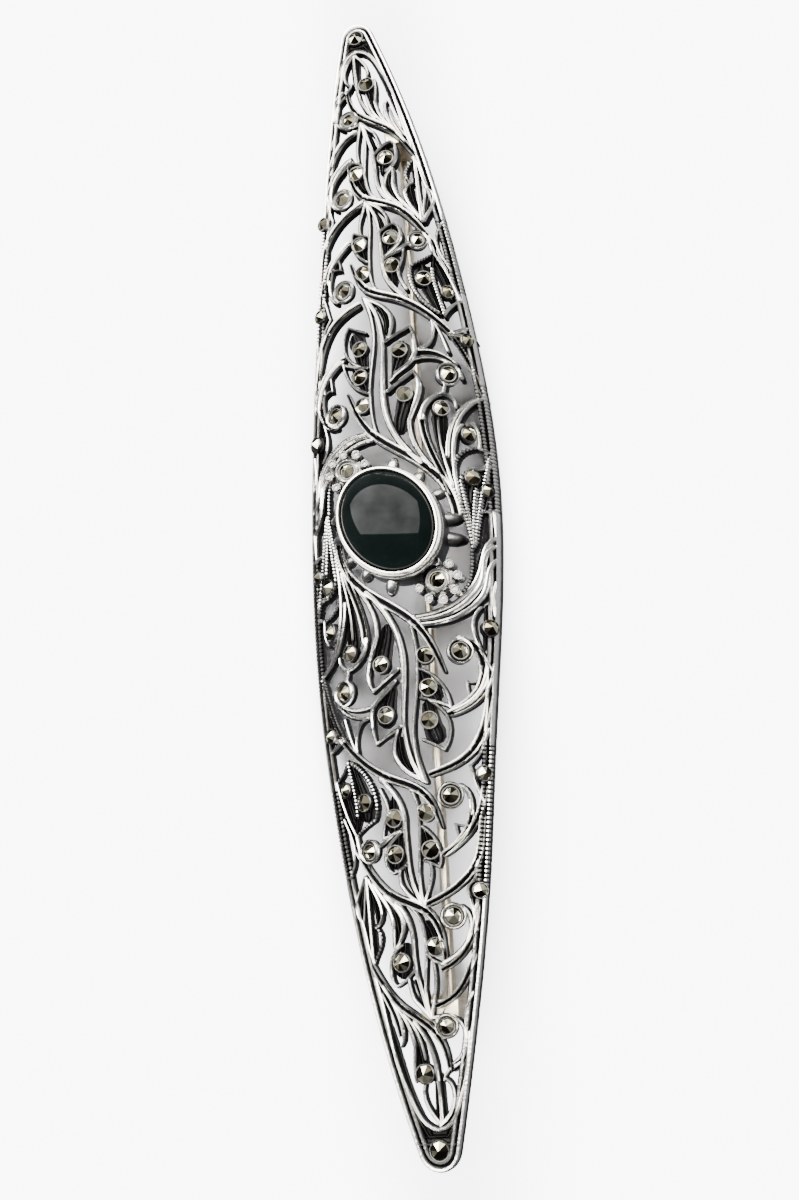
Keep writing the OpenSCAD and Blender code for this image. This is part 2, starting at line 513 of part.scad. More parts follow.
module collars() {
    for (m = STONES) tube(m[0], m[1], collar_r(m[2]), collar_w, relief_h + collar_rise);
    for (g = RINGS) tube(g[0], g[1], g[2] + ring_past, ring_wall, relief_h - ring_drop);
}

// Round bar between two points
module bar(a, b, d) {
    v = b - a;
    translate(a) rotate([0, acos(v[2] / norm(v)), atan2(v[1], v[0])]) cylinder(d = d, h = norm(v), $fn = 24);
}

// Both copies of a solid that is drawn for the lower half
module both_sides() {
    children();
    rotate([0, 0, 180]) children();
}

// Height of the middle of the plate at a distance from the long axis
function mid_z(x) = axis_z + sqrt(pow(dome_r + plate_t / 2, 2) - x * x);

module bezel() {
    translate([0, 0, bezel_foot_z]) linear_extrude(height = bezel_top_z - bezel_foot_z) oval(bezel_t);
}

module pocket() {
    translate([0, 0, pocket_z]) linear_extrude(height = cab_h + 1) oval(pocket_gap);
}

module peg(p) {
    a = [p[0], p[1], mid_z(p[0]) + 0.3];
    b = [p[2], p[3], mid_z(p[2])];
    bar(a, b, p[4]);
    translate((a + b) / 2 + [0, 0, 0.1]) sphere(d = p[4] * 1.15);
}

// Rosette: a raised flower of beads round a marcasite, with an open seat
module rosette() {
    x = rosette_at[0];
    difference() {
        translate([x, rosette_at[1], mid_z(x)]) linear_extrude(height = rosette_rise + 0.3) offset(delta = 0.001) rosette_2d();
        translate([x, rosette_at[1], rosette_seat_z]) cylinder(r = stone_d / 2 + seat_gap, h = 2, $fn = 24);
    }
}

// Two lugs on a soldered pad, bored for the rivet
module hinge_lugs() {
    reach_x = eye_w / 2 + lug_gap + lug_w;
    translate([-reach_x, -pad_l / 2, solder_z - pad_h]) cube([2 * reach_x, pad_l, pad_h]);
    for (side = [-1, 1]) difference() {
        union() {
            translate([side * (eye_w / 2 + lug_gap + lug_w / 2) - lug_w / 2, 0, pin_z]) rotate([0, 90, 0]) cylinder(r = lug_r, h = lug_w);
            translate([side * (eye_w / 2 + lug_gap + lug_w / 2) - lug_w / 2, -lug_neck / 2, pin_z]) cube([lug_w, lug_neck, solder_z - pin_z - 0.1]);
        }
        translate([-reach_x - 1, 0, pin_z]) rotate([0, 90, 0]) cylinder(d = rivet_d + 2 * rivet_fit, h = 2 * reach_x + 2);
    }
}

// Hook that the stem lies in, open away from the plate
module catch_hook() {
    slot_w = pin_d + 2 * catch_gap;
    difference() {
        translate([-catch_w / 2, -catch_l / 2, 0]) cube([catch_w, catch_l, catch_z]);
        translate([0, -catch_l, pin_z]) rotate([-90, 0, 0]) cylinder(d = slot_w, h = 2 * catch_l);
        translate([-slot_w / 2, -catch_l, -1]) cube([slot_w, 2 * catch_l, pin_z + 1]);
        translate([slot_w / 2 - 0.01, -catch_l, -1]) cube([catch_w, 2 * catch_l, pin_z + 1 - 0.4]);
    }
}

module pin_frame() {
    translate([pin_from[0], pin_from[1], 0]) rotate([0, 0, pin_turn]) children();
}

module marcasite(k) {
    r = stone_r(k);
    depth = 0.3;
    cylinder(r = r, h = depth, $fn = 8);
    translate([0, 0, depth]) cylinder(r1 = r, r2 = 0.25 * r, h = 0.45 * r, $fn = 8);
}

module half_marcasites() {
    for (m = STONES) on_surface(m[0], m[1], top_r) translate([0, 0, stone_lift + m[3] * relief_h]) marcasite(m[2]);
    translate([rosette_at[0], rosette_at[1], rosette_seat_z + stone_lift]) marcasite(1);
}

module openwork_frame() {
    color("silver") difference() {
        union() {
            on_dome(dome_r, top_r) ground_2d();
            on_dome(top_r - root_h, crown_r) relief_2d();
            bezel();
            both_sides() {
                collars();
                for (p = PEGS) peg(p);
                rosette();
            }
            pin_frame() hinge_lugs();
            pin_frame() translate([0, pin_l, 0]) catch_hook();
        }
        pocket();
    }
}

module cabochon() {
    color("black") rotate([0, 0, cab_turn]) translate([0, 0, cab_z]) {
        intersection() {
            scale([cab_l / 2, cab_w / 2, cab_h]) sphere(r = 1);
            translate([-cab_l, -cab_l, 0]) cube([2 * cab_l, 2 * cab_l, cab_l]);
        }
        translate([0, 0, pocket_z + 0.03 - cab_z]) linear_extrude(height = cab_z - pocket_z - 0.03) scale([1, cab_w / cab_l]) circle(r = cab_l / 2);
    }
}

module lower_marcasites() {
    color("dimgray") half_marcasites();
}

module upper_marcasites() {
    color("dimgray") rotate([0, 0, 180]) half_marcasites();
}

module pin_stem() {
    color("lightgray") pin_frame() translate([0, 0, pin_z]) difference() {
        union() {
            rotate([0, 90, 0]) cylinder(r = eye_r, h = eye_w, center = true);
            rotate([-90, 0, 0]) cylinder(d = pin_d, h = pin_l + pin_past - point_l);
            translate([0, pin_l + pin_past - point_l, 0]) rotate([-90, 0, 0]) cylinder(d1 = pin_d, d2 = 0.15, h = point_l);
        }
        rotate([0, 90, 0]) cylinder(d = rivet_d + 2 * rivet_gap, h = eye_w + 1, center = true);
    }
}

module hinge_rivet() {
    half_l = eye_w / 2 + lug_gap + lug_w;
    color("gray") pin_frame() translate([0, 0, pin_z]) rotate([0, 90, 0]) {
        cylinder(d = rivet_d, h = 2 * half_l + 0.1, center = true);
        for (side = [-1, 1]) translate([0, 0, side * (half_l + 0.02 + head_h / 2)]) cylinder(r = head_r, h = head_h, center = true);
    }
}

openwork_frame();
cabochon();
lower_marcasites();
upper_marcasites();
pin_stem();
hinge_rivet();
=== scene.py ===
"""A pierced silver brooch with marcasites and an oval black stone, lying on a pale table.

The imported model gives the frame. The openwork, its collars, its rosettes and its marcasites are
built here as one fused body, and the black stone, the pin and its rivet are dressed around it.
The tables are in millimetres, as in the part's source, and every mesh is written in metres.
"""

from __future__ import annotations

import logging
import math
import random
from collections.abc import Iterator
from contextlib import contextmanager
from dataclasses import dataclass, field
from enum import Enum

import bmesh
import bpy
import numpy as np
from mathutils import Matrix, Vector

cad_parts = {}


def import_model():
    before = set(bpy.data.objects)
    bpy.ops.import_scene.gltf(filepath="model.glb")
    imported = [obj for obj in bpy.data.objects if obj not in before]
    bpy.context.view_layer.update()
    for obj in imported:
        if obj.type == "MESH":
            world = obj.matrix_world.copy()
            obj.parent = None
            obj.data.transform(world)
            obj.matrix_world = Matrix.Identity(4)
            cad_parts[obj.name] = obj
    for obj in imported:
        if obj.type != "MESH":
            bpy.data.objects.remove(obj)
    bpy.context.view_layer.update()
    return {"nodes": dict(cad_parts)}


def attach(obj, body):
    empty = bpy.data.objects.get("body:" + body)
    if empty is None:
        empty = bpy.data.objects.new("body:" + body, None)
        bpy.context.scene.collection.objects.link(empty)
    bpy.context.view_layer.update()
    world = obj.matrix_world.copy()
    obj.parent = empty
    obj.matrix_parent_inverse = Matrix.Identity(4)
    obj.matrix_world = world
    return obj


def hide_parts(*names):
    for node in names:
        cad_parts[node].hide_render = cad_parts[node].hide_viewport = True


LOG = logging.getLogger("brooch")
MM = 0.001
HALF_TURN = Matrix.Rotation(math.pi, 4, "Z")

Pair = tuple[float, float]
Triple = tuple[float, float, float]
Piece = bpy.types.Object
Finish = bpy.types.Material
Socket = bpy.types.NodeSocket

# Oval of the black stone: long and short radius in millimetres, and turn in degrees
OVAL_LONG_R = 5.0
OVAL_SHORT_R = 4.0
OVAL_TURN = -59.0


class Form(Enum):
    """What a curve of the openwork is made as."""

    LEAF = 0
    WIRE = 1
    STEM = 2
    BAND = 4
    RIBBED = 5
    BEADED = 6


# Curves of one half of the openwork. The other half is the same after half a turn
# Columns: start x, y and heading, end x, y and heading, width at the start and end, form
STEMS = (
    # Spray beside the stone: root, main stem and its curled end
    (-5.5, -0.6, -85, -4.6, -3.6, -60, 0.9, 0.9, 2), (-4.6, -3.6, -55, 1.2, -8.8, -45, 0.9, 0.9, 2),
    (1.2, -8.8, -50, 3.4, -13.3, -72, 0.85, 0.35, 2),
    # Long slit of the first spray, left side and right side
    (-2.9, -5.6, -45, 0.0, -12.0, -88, 0.6, 0.75, 1), (0.0, -12.0, -90, -0.35, -17.4, -92, 0.75, 0.45, 1),
    (-0.35, -17.4, -88, 1.0, -22.3, -55, 0.45, 0.5, 1), (0.9, -9.0, -75, 1.2, -13.0, -92, 0.4, 0.35, 1),
    (1.2, -13.0, -93, 0.45, -18.6, -92, 0.35, 0.4, 1), (0.45, -18.6, -88, 1.2, -22.4, -70, 0.4, 0.5, 1),
    # Leaves left of the slit
    (-3.8, -5.0, -55, -2.2, -9.6, -95, 0.5, 0.55, 1), (-2.2, -9.6, -110, -3.3, -12.9, -95, 0.5, 0.7, 1),
    (-3.3, -12.9, -88, -2.9, -14.3, -60, 0.6, 0.3, 1), (-2.9, -14.3, 35, -0.5, -12.7, 35, 0.4, 0.45, 1),
    (-1.3, -9.2, -95, -2.0, -12.0, -95, 1.2, 1.8, 0), (-0.8, -13.7, -125, -3.2, -16.2, -100, 0.4, 0.6, 1),
    (-3.2, -16.2, -90, -2.9, -18.8, -70, 0.6, 0.3, 1), (-2.9, -18.8, 30, -0.6, -17.6, 30, 0.35, 0.4, 1),
    (-1.2, -14.4, -110, -1.9, -16.6, -100, 0.8, 1.9, 0), (-0.9, -17.9, -115, -1.3, -20.0, -80, 0.35, 0.55, 1),
    (-1.3, -20.0, -72, 1.2, -22.4, -28, 0.55, 0.4, 1), (-0.8, -18.6, -88, -0.2, -21.2, -55, 0.5, 0.6, 0),
    # Leaves right of the slit
    (1.3, -12.9, -20, 3.7, -16.4, -85, 0.35, 0.35, 1), (3.7, -16.4, 150, 1.3, -15.4, 165, 0.35, 0.35, 1),
    (1.6, -13.6, -80, 2.2, -15.0, -60, 1.0, 1.8, 0), (2.0, -15.7, -35, 3.5, -18.2, -95, 0.35, 0.35, 1),
    (3.5, -18.2, -95, 2.9, -19.9, -125, 0.35, 0.3, 1), (2.9, -19.9, 145, 1.2, -18.9, 150, 0.3, 0.35, 1),
    (1.8, -16.2, -80, 2.2, -18.4, -70, 1.2, 1.8, 0),
    # Fronds left of the root
    (-5.2, -2.6, -75, -3.3, -9.8, -90, 0.6, 0.75, 2), (-3.3, -9.8, -92, -5.3, -12.0, -172, 0.7, 0.5, 1),
    (-5.3, -12.0, 165, -6.2, -10.7, 75, 0.5, 0.35, 1), (-5.0, -5.0, -82, -4.7, -9.8, -92, 0.6, 1.4, 0),
    (-5.4, -3.2, -80, -4.6, -9.4, -92, 0.45, 0.2, 1), (-5.8, -2.6, -84, -8.6, -11.9, -152, 0.5, 0.35, 1),
    (-5.2, -6.0, -92, -8.6, -11.9, -165, 0.5, 0.3, 1), (-5.4, -5.5, -88, -8.5, -11.8, -158, 1.0, 0.6, 0),
    (-5.95, -1.5, -88, -5.9, -5.8, -115, 0.5, 0.5, 5), (-5.9, -5.8, -120, -7.9, -6.8, 165, 0.5, 0.3, 5),
    (-7.8, -6.8, -90, -7.4, -9.2, -50, 0.35, 0.4, 1), (-5.6, -6.2, -110, -6.6, -9.0, -140, 0.4, 0.4, 1),
    (-8.6, -6.5, -20, -7.6, -6.9, -10, 0.4, 0.4, 1),
    # Scroll left of the leaves, with its curled leaf
    (-6.9, -13.6, -88, -3.1, -15.5, 20, 0.45, 0.4, 1), (-6.6, -15.0, -50, -3.5, -16.4, 5, 0.35, 0.35, 1),
    (-3.6, -16.5, -178, -4.9, -19.2, -80, 0.4, 0.4, 1), (-6.0, -16.2, -75, -4.9, -19.3, -60, 0.4, 0.35, 1),
    (-5.3, -12.0, -90, -5.5, -13.0, -90, 0.4, 0.4, 1),
    # Stem down the left rim to the second spray
    (-8.5, -11.9, -75, -6.3, -17.9, -60, 0.5, 0.5, 6), (-8.3, -12.6, -82, -7.6, -16.8, -75, 0.5, 1.0, 0),
    (-8.3, -17.6, -5, -6.2, -17.9, 5, 0.5, 0.5, 1),
    # Second spray
    (-6.5, -17.8, -52, -2.3, -21.6, -30, 0.6, 0.8, 2), (-2.3, -21.6, -28, 0.8, -23.2, -40, 0.8, 0.8, 2),
    (0.8, -23.2, -45, 2.2, -26.2, -75, 0.8, 0.3, 2), (-2.8, -21.8, -40, -0.9, -25.2, -85, 0.55, 0.6, 1),
    (-0.9, -25.2, -92, -0.8, -28.6, -88, 0.6, 0.4, 1), (-0.8, -28.6, -88, 0.1, -32.0, -60, 0.4, 0.45, 1),
    (-0.2, -22.9, -50, 0.35, -25.6, -90, 0.4, 0.35, 1), (0.35, -25.6, -90, 0.05, -29.6, -94, 0.35, 0.35, 1),
    (0.05, -29.6, -90, 0.2, -32.2, -80, 0.35, 0.45, 1), (-2.9, -22.6, -65, -2.3, -24.6, -95, 0.4, 0.4, 1),
    (-2.3, -24.6, -115, -2.9, -26.6, -95, 0.35, 0.3, 1), (-2.9, -26.7, 25, -0.9, -25.8, 45, 0.35, 0.35, 1),
    (-1.7, -23.6, -90, -1.8, -25.6, -90, 0.9, 1.7, 0), (-3.3, -27.2, 20, -1.9, -26.3, 35, 0.4, 0.4, 1),
    (-1.3, -26.3, -140, -2.8, -28.2, -92, 0.35, 0.5, 1), (-2.8, -28.2, -88, -2.2, -29.5, -30, 0.5, 0.3, 1),
    (-2.2, -29.5, 15, -0.8, -28.8, 35, 0.3, 0.35, 1), (-1.5, -26.9, -100, -1.9, -28.4, -100, 0.7, 1.7, 0),
    (-1.6, -29.3, -100, -1.5, -30.6, -65, 0.35, 0.45, 1), (-1.5, -30.6, -60, 0.2, -32.2, -30, 0.45, 0.4, 1),
    (-1.1, -29.2, -85, -0.3, -31.4, -60, 0.5, 0.5, 0), (0.6, -26.0, -40, 1.9, -28.4, -90, 0.35, 0.35, 1),
    (1.9, -28.4, -92, 1.7, -29.3, -130, 0.35, 0.3, 1), (1.7, -29.3, 150, 0.5, -28.7, 165, 0.3, 0.3, 1),
    (0.8, -26.6, -80, 1.2, -28.2, -70, 0.6, 1.6, 0), (1.0, -28.9, -75, 0.3, -32.2, -105, 0.35, 0.4, 1),
    # Milled leaves under the second root
    (-7.6, -18.6, 30, -6.4, -18.0, 20, 0.5, 0.5, 1), (-5.6, -20.0, -35, -3.3, -24.0, -88, 0.5, 0.55, 5),
    (-3.3, -24.0, -95, -3.6, -25.1, -130, 0.5, 0.35, 5), (-6.0, -19.8, -82, -5.3, -24.6, -92, 0.5, 0.45, 5),
    (-5.3, -24.6, -100, -5.5, -26.2, -95, 0.8, 0.25, 0), (-5.4, -20.6, -75, -4.5, -24.2, -85, 0.7, 1.8, 0),
    (-3.5, -25.0, -155, -5.5, -26.2, -140, 0.4, 0.3, 5), (-7.4, -21.4, -75, -5.5, -26.2, -60, 0.45, 0.35, 1),
    (-7.2, -21.3, 40, -6.0, -19.9, 65, 0.35, 0.4, 1), (-6.6, -21.8, -75, -5.7, -24.8, -70, 0.9, 1.0, 0),
    (-5.5, -26.2, -80, -5.2, -27.8, -80, 0.5, 0.5, 1), (-6.8, -24.6, -65, -5.8, -27.6, -88, 0.35, 0.35, 1),
    (-5.8, -27.6, -95, -6.5, -29.5, -125, 0.35, 0.3, 1),
    # Third spray
    (-5.5, -27.3, -60, -2.9, -30.9, -42, 0.6, 0.75, 2), (-2.9, -30.9, -38, 0.3, -32.6, -32, 0.75, 0.8, 2),
    (0.3, -32.6, -38, 1.65, -36.6, -88, 0.75, 0.35, 2), (-5.0, -29.6, -110, -6.0, -32.0, -95, 0.4, 0.4, 1),
    (-6.0, -32.0, -90, -5.3, -33.2, -20, 0.4, 0.3, 1), (-4.9, -30.0, -98, -5.3, -33.0, -95, 0.35, 0.3, 1),
    (-5.2, -30.6, -100, -5.6, -32.4, -95, 0.4, 0.6, 0), (-4.8, -29.6, -88, -4.6, -36.3, -88, 0.5, 0.4, 1),
    (-4.6, -29.8, -72, -3.5, -32.6, -88, 0.45, 0.5, 1), (-3.5, -32.6, -95, -4.1, -33.6, -165, 0.45, 0.35, 1),
    (-4.4, -30.6, -80, -4.0, -33.2, -90, 0.4, 0.6, 0), (-4.2, -30.2, -55, -2.5, -33.6, -85, 0.5, 0.55, 1),
    (-2.5, -33.6, -92, -2.6, -35.3, -95, 0.5, 0.35, 1), (-3.1, -31.2, -45, -1.6, -33.4, -75, 0.5, 0.6, 1),
    (-1.6, -33.4, -90, -2.5, -35.4, -140, 0.6, 0.3, 1), (-2.6, -32.0, -65, -2.1, -34.9, -95, 0.5, 0.4, 0),
    (-2.1, -31.9, -40, -0.9, -34.8, -85, 0.5, 0.5, 1), (-0.9, -34.8, -92, -0.75, -37.6, -82, 0.5, 0.45, 1),
    (-0.75, -37.6, -75, 0.1, -40.8, -70, 0.45, 0.4, 1), (-0.9, -32.3, -35, 0.15, -35.0, -85, 0.4, 0.4, 1),
    (0.15, -35.0, -90, -0.15, -38.6, -93, 0.4, 0.35, 1), (-0.15, -38.6, -90, 0.1, -40.8, -80, 0.35, 0.4, 1),
    (0.2, -36.0, -60, 1.6, -36.9, -20, 0.35, 0.3, 1), (0.3, -33.6, -60, 1.0, -35.6, -75, 0.5, 1.2, 0),
    (0.65, -36.7, -80, 0.2, -40.8, -100, 0.35, 0.4, 1), (-1.9, -35.2, -160, -3.0, -37.0, -90, 0.35, 0.5, 1),
    (-3.0, -37.0, -88, -2.5, -38.3, -20, 0.5, 0.35, 1), (-2.5, -38.3, 20, -1.0, -37.2, 45, 0.35, 0.35, 1),
    (-1.6, -35.3, -95, -2.0, -37.0, -95, 0.7, 1.6, 0), (-1.5, -37.8, -85, -1.1, -39.4, -60, 0.35, 0.45, 1),
    (-1.1, -39.4, -50, 0.2, -40.8, -40, 0.45, 0.4, 1), (-1.0, -38.0, -75, -0.3, -39.9, -60, 0.4, 0.4, 0),
    (-5.5, -33.0, -70, -4.5, -36.4, -60, 0.4, 0.35, 1), (-4.3, -33.6, -20, -3.7, -34.6, -95, 0.35, 0.35, 5),
    (-3.7, -34.6, -95, -4.5, -36.4, -115, 0.35, 0.3, 5), (-4.6, -33.6, -85, -4.5, -35.6, -85, 0.7, 0.7, 0),
    # Fourth spray, by the tip
    (-4.7, -36.6, -60, -2.2, -39.9, -40, 0.5, 0.65, 2), (-2.2, -39.9, -36, 0.3, -41.8, -45, 0.65, 0.65, 2),
    (0.3, -41.8, -50, 1.3, -44.8, -88, 0.65, 0.3, 2), (-3.9, -38.2, -55, -2.3, -41.6, -80, 0.4, 0.5, 1),
    (-2.3, -41.6, -88, -2.5, -42.8, -130, 0.5, 0.3, 1), (-4.0, -38.8, -62, -2.7, -42.0, -80, 0.3, 0.25, 1),
    (-2.9, -39.6, -48, -1.4, -42.8, -80, 0.4, 0.45, 1), (-1.4, -42.8, -92, -1.5, -45.4, -80, 0.4, 0.35, 1),
    (-2.1, -40.4, -45, -0.6, -43.8, -82, 0.35, 0.35, 1), (-1.9, -40.6, -55, -0.8, -44.4, -85, 0.5, 0.9, 0),
    (-1.3, -41.0, -50, 0.2, -44.2, -80, 0.4, 0.5, 1), (0.2, -44.2, -85, 0.35, -48.4, -92, 0.5, 0.4, 1),
    (-0.8, -45.7, -110, 0.2, -48.5, -50, 0.35, 0.4, 1), (0.9, -45.3, -30, 1.45, -46.7, -95, 0.35, 0.4, 1),
    (1.45, -46.7, -98, 0.2, -48.6, -150, 0.4, 0.4, 1), (0.3, -45.2, -88, 0.3, -48.2, -90, 0.8, 1.0, 0),
    (1.3, -44.6, -120, 0.8, -45.4, -90, 0.35, 0.35, 1),
    # Bands that sweep in from the right rim
    (8.9, -1.5, -145, 6.8, -5.0, -112, 0.5, 0.6, 1), (6.8, -5.0, -112, 1.3, -8.3, 178, 0.6, 0.5, 1),
    (8.9, -3.6, -135, 6.9, -6.9, -122, 0.5, 0.65, 1), (6.9, -6.9, -125, 1.9, -9.1, 175, 0.65, 0.5, 1),
    (8.6, -2.5, -140, 6.85, -5.9, -115, 1.1, 1.35, 4), (6.85, -5.9, -118, 1.8, -8.7, 176, 1.35, 1.0, 4),
    (7.9, -13.2, -100, 3.7, -16.9, -165, 0.9, 0.7, 2), (7.5, -15.2, -105, 5.2, -19.9, -125, 0.6, 0.8, 2),
    (5.2, -19.9, -128, 1.7, -21.8, -165, 0.8, 0.6, 2), (6.4, -23.4, -100, 2.3, -28.3, -152, 0.6, 0.55, 2),
    (6.1, -25.6, -102, 4.2, -29.8, -128, 0.55, 0.7, 2), (4.2, -29.8, -130, 0.6, -32.1, -160, 0.7, 0.6, 2),
    (5.0, -32.6, -98, 1.4, -37.2, -160, 0.5, 0.45, 2), (4.6, -36.4, -112, 0.7, -39.9, -165, 0.55, 0.5, 2),
    (3.5, -41.8, -98, 1.7, -44.7, -155, 0.45, 0.35, 2),
    # Scrolls right of the leaves, with their thorns
    (4.8, -10.6, 0, 6.5, -13.4, -92, 0.5, 0.9, 2), (6.5, -13.4, -92, 4.0, -16.6, -160, 0.9, 0.6, 2),
    (6.1, -14.2, -150, 5.0, -14.3, 150, 0.35, 0.2, 1), (5.1, -14.3, -90, 5.2, -15.7, -90, 0.3, 0.3, 1),
    (3.9, -22.9, -30, 4.6, -25.2, -95, 0.45, 0.55, 1), (4.6, -25.2, -98, 2.2, -28.3, -148, 0.55, 0.5, 2),
    (4.3, -26.2, -165, 3.2, -26.0, 160, 0.3, 0.2, 1), (3.3, -26.1, -95, 3.5, -27.2, -80, 0.3, 0.3, 1),
    (3.2, -32.5, -35, 3.8, -34.2, -95, 0.4, 0.5, 1), (3.8, -34.2, -98, 1.3, -36.8, -155, 0.5, 0.4, 1),
    (1.9, -40.8, -30, 2.7, -42.4, -92, 0.35, 0.4, 1), (2.7, -42.4, -95, 1.6, -44.2, -150, 0.4, 0.3, 1),
    (3.5, -39.1, -120, 2.8, -41.6, -85, 0.35, 0.35, 1), (1.0, -40.6, 10, 0.1, -40.8, 180, 0.35, 0.4, 1),
    # Small leaves along the right rim
    (6.7, -7.9, -140, 6.0, -10.0, -85, 0.35, 0.4, 1), (6.0, -10.0, -80, 7.3, -13.6, -65, 0.4, 0.35, 1),
    (8.3, -5.6, -110, 7.8, -8.7, -85, 0.4, 0.4, 1), (7.3, -8.0, -90, 7.3, -11.2, -90, 1.0, 1.2, 0),
    (6.8, -18.4, -120, 4.8, -21.4, -140, 0.4, 0.25, 1), (4.8, -21.4, -75, 5.8, -24.6, -68, 0.35, 0.35, 1),
    (6.1, -20.4, -95, 5.9, -23.4, -90, 0.7, 1.0, 0), (5.9, -28.8, -155, 4.3, -30.6, -125, 0.35, 0.35, 1),
    (4.3, -30.6, -150, 3.8, -31.4, -80, 0.3, 0.35, 1), (3.8, -31.4, -75, 4.5, -34.4, -85, 0.35, 0.35, 1),
    (4.8, -30.6, -90, 4.7, -33.0, -90, 0.9, 0.8, 0),
    # Ribbed leaves beside the stone
    (6.5, -2.6, 95, 5.5, 3.0, 105, 0.35, 0.6, 5), (6.6, -2.6, 92, 6.1, 3.4, 98, 0.4, 0.55, 5),
    (6.7, -2.4, 88, 7.2, 2.8, 82, 0.45, 0.65, 5), (6.8, -2.2, 80, 8.2, 4.6, 75, 0.45, 0.6, 5),
    (6.1, 3.4, 95, 7.3, 5.0, 10, 0.45, 0.4, 5), (6.7, 2.0, 90, 7.0, 4.0, 90, 1.0, 1.6, 0),
    (7.7, 1.0, 70, 8.5, 3.2, 80, 0.8, 1.2, 0), (8.2, 4.6, 78, 8.9, 6.2, 60, 0.6, 0.5, 5),
    (7.2, 4.9, -20, 8.4, 5.2, 20, 0.5, 0.5, 1), (7.6, 0.9, 0, 8.9, 1.0, 10, 0.4, 0.5, 1),
    (8.4, 0.8, -90, 8.5, -1.4, -90, 0.4, 0.4, 1), (6.4, -2.6, -92, 5.2, -6.7, -135, 0.4, 0.4, 5),
    # Inner band of the rim round the tip
    (-4.5, -37.6, -72, -2.3, -46.0, -66, 0.45, 0.45, 1), (-2.3, -46.0, -66, 0.1, -48.95, -5, 0.45, 0.45, 1),
    (0.1, -48.95, 5, 2.4, -45.9, 68, 0.45, 0.4, 1), (2.4, -45.9, 72, 3.4, -42.0, 80, 0.4, 0.4, 1),
    (-3.7, -41.5, -72, -0.9, -49.2, -58, 0.9, 1.0, 0), (3.0, -44.0, -108, 0.9, -49.2, -122, 0.5, 0.9, 0),
    (-1.2, -50.0, 0, 1.2, -50.0, 0, 2.0, 2.0, 0),
)

# Marcasites of one half: x, y, 1 for a large one and 0 for a small one, 1 where it stands on the rim
STONES = (
    (0.0, -50.4, 1, 0), (-0.7, -44.9, 1, 0), (1.3, -41.45, 0, 0), (-1.95, -36.5, 1, 0),
    (0.95, -35.45, 1, 0), (2.5, -33.2, 1, 0), (4.75, -31.4, 0, 1), (-1.85, -28.0, 1, 0),
    (1.15, -27.9, 1, 0), (-4.2, -27.55, 0, 0), (-1.75, -25.1, 1, 0), (1.0, -24.9, 1, 0),
    (-4.45, -23.5, 1, 0), (-6.35, -22.2, 0, 0), (3.05, -23.65, 1, 0), (5.8, -22.1, 0, 1),
    (1.85, -17.35, 1, 0), (-1.8, -16.5, 1, 0), (-7.6, -17.3, 0, 1), (2.0, -14.6, 1, 0),
    (-5.75, -13.9, 1, 0), (-1.95, -12.15, 1, 0), (1.95, -11.8, 1, 0), (4.75, -11.65, 1, 0),
    (-4.95, -10.55, 1, 0), (-7.0, -8.1, 1, 0), (7.3, -9.8, 1, 1), (6.95, 4.0, 1, 0),
    (8.1, 2.75, 0, 1),
)

# Scroll rings round some marcasites of one half: x, y and outer radius
RINGS = (
    (4.75, -11.65, 1.15), (3.05, -23.65, 1.1), (2.5, -33.2, 1.05),
    (1.3, -41.45, 0.95), (-5.75, -13.9, 1.15), (-4.2, -27.55, 1.0),
)

# Pegs between the bezel and the openwork, one half: start x and y, end x and y, diameter
PEGS = (
    (-3.6, -2.2, -4.8, -2.7, 0.8), (-2.3, -3.4, -2.9, -4.6, 0.9), (-0.2, -4.4, -0.6, -6.3, 0.9),
    (3.4, -1.5, 6.2, -1.9, 1.0), (3.6, 0.1, 6.0, 0.1, 1.0),
)


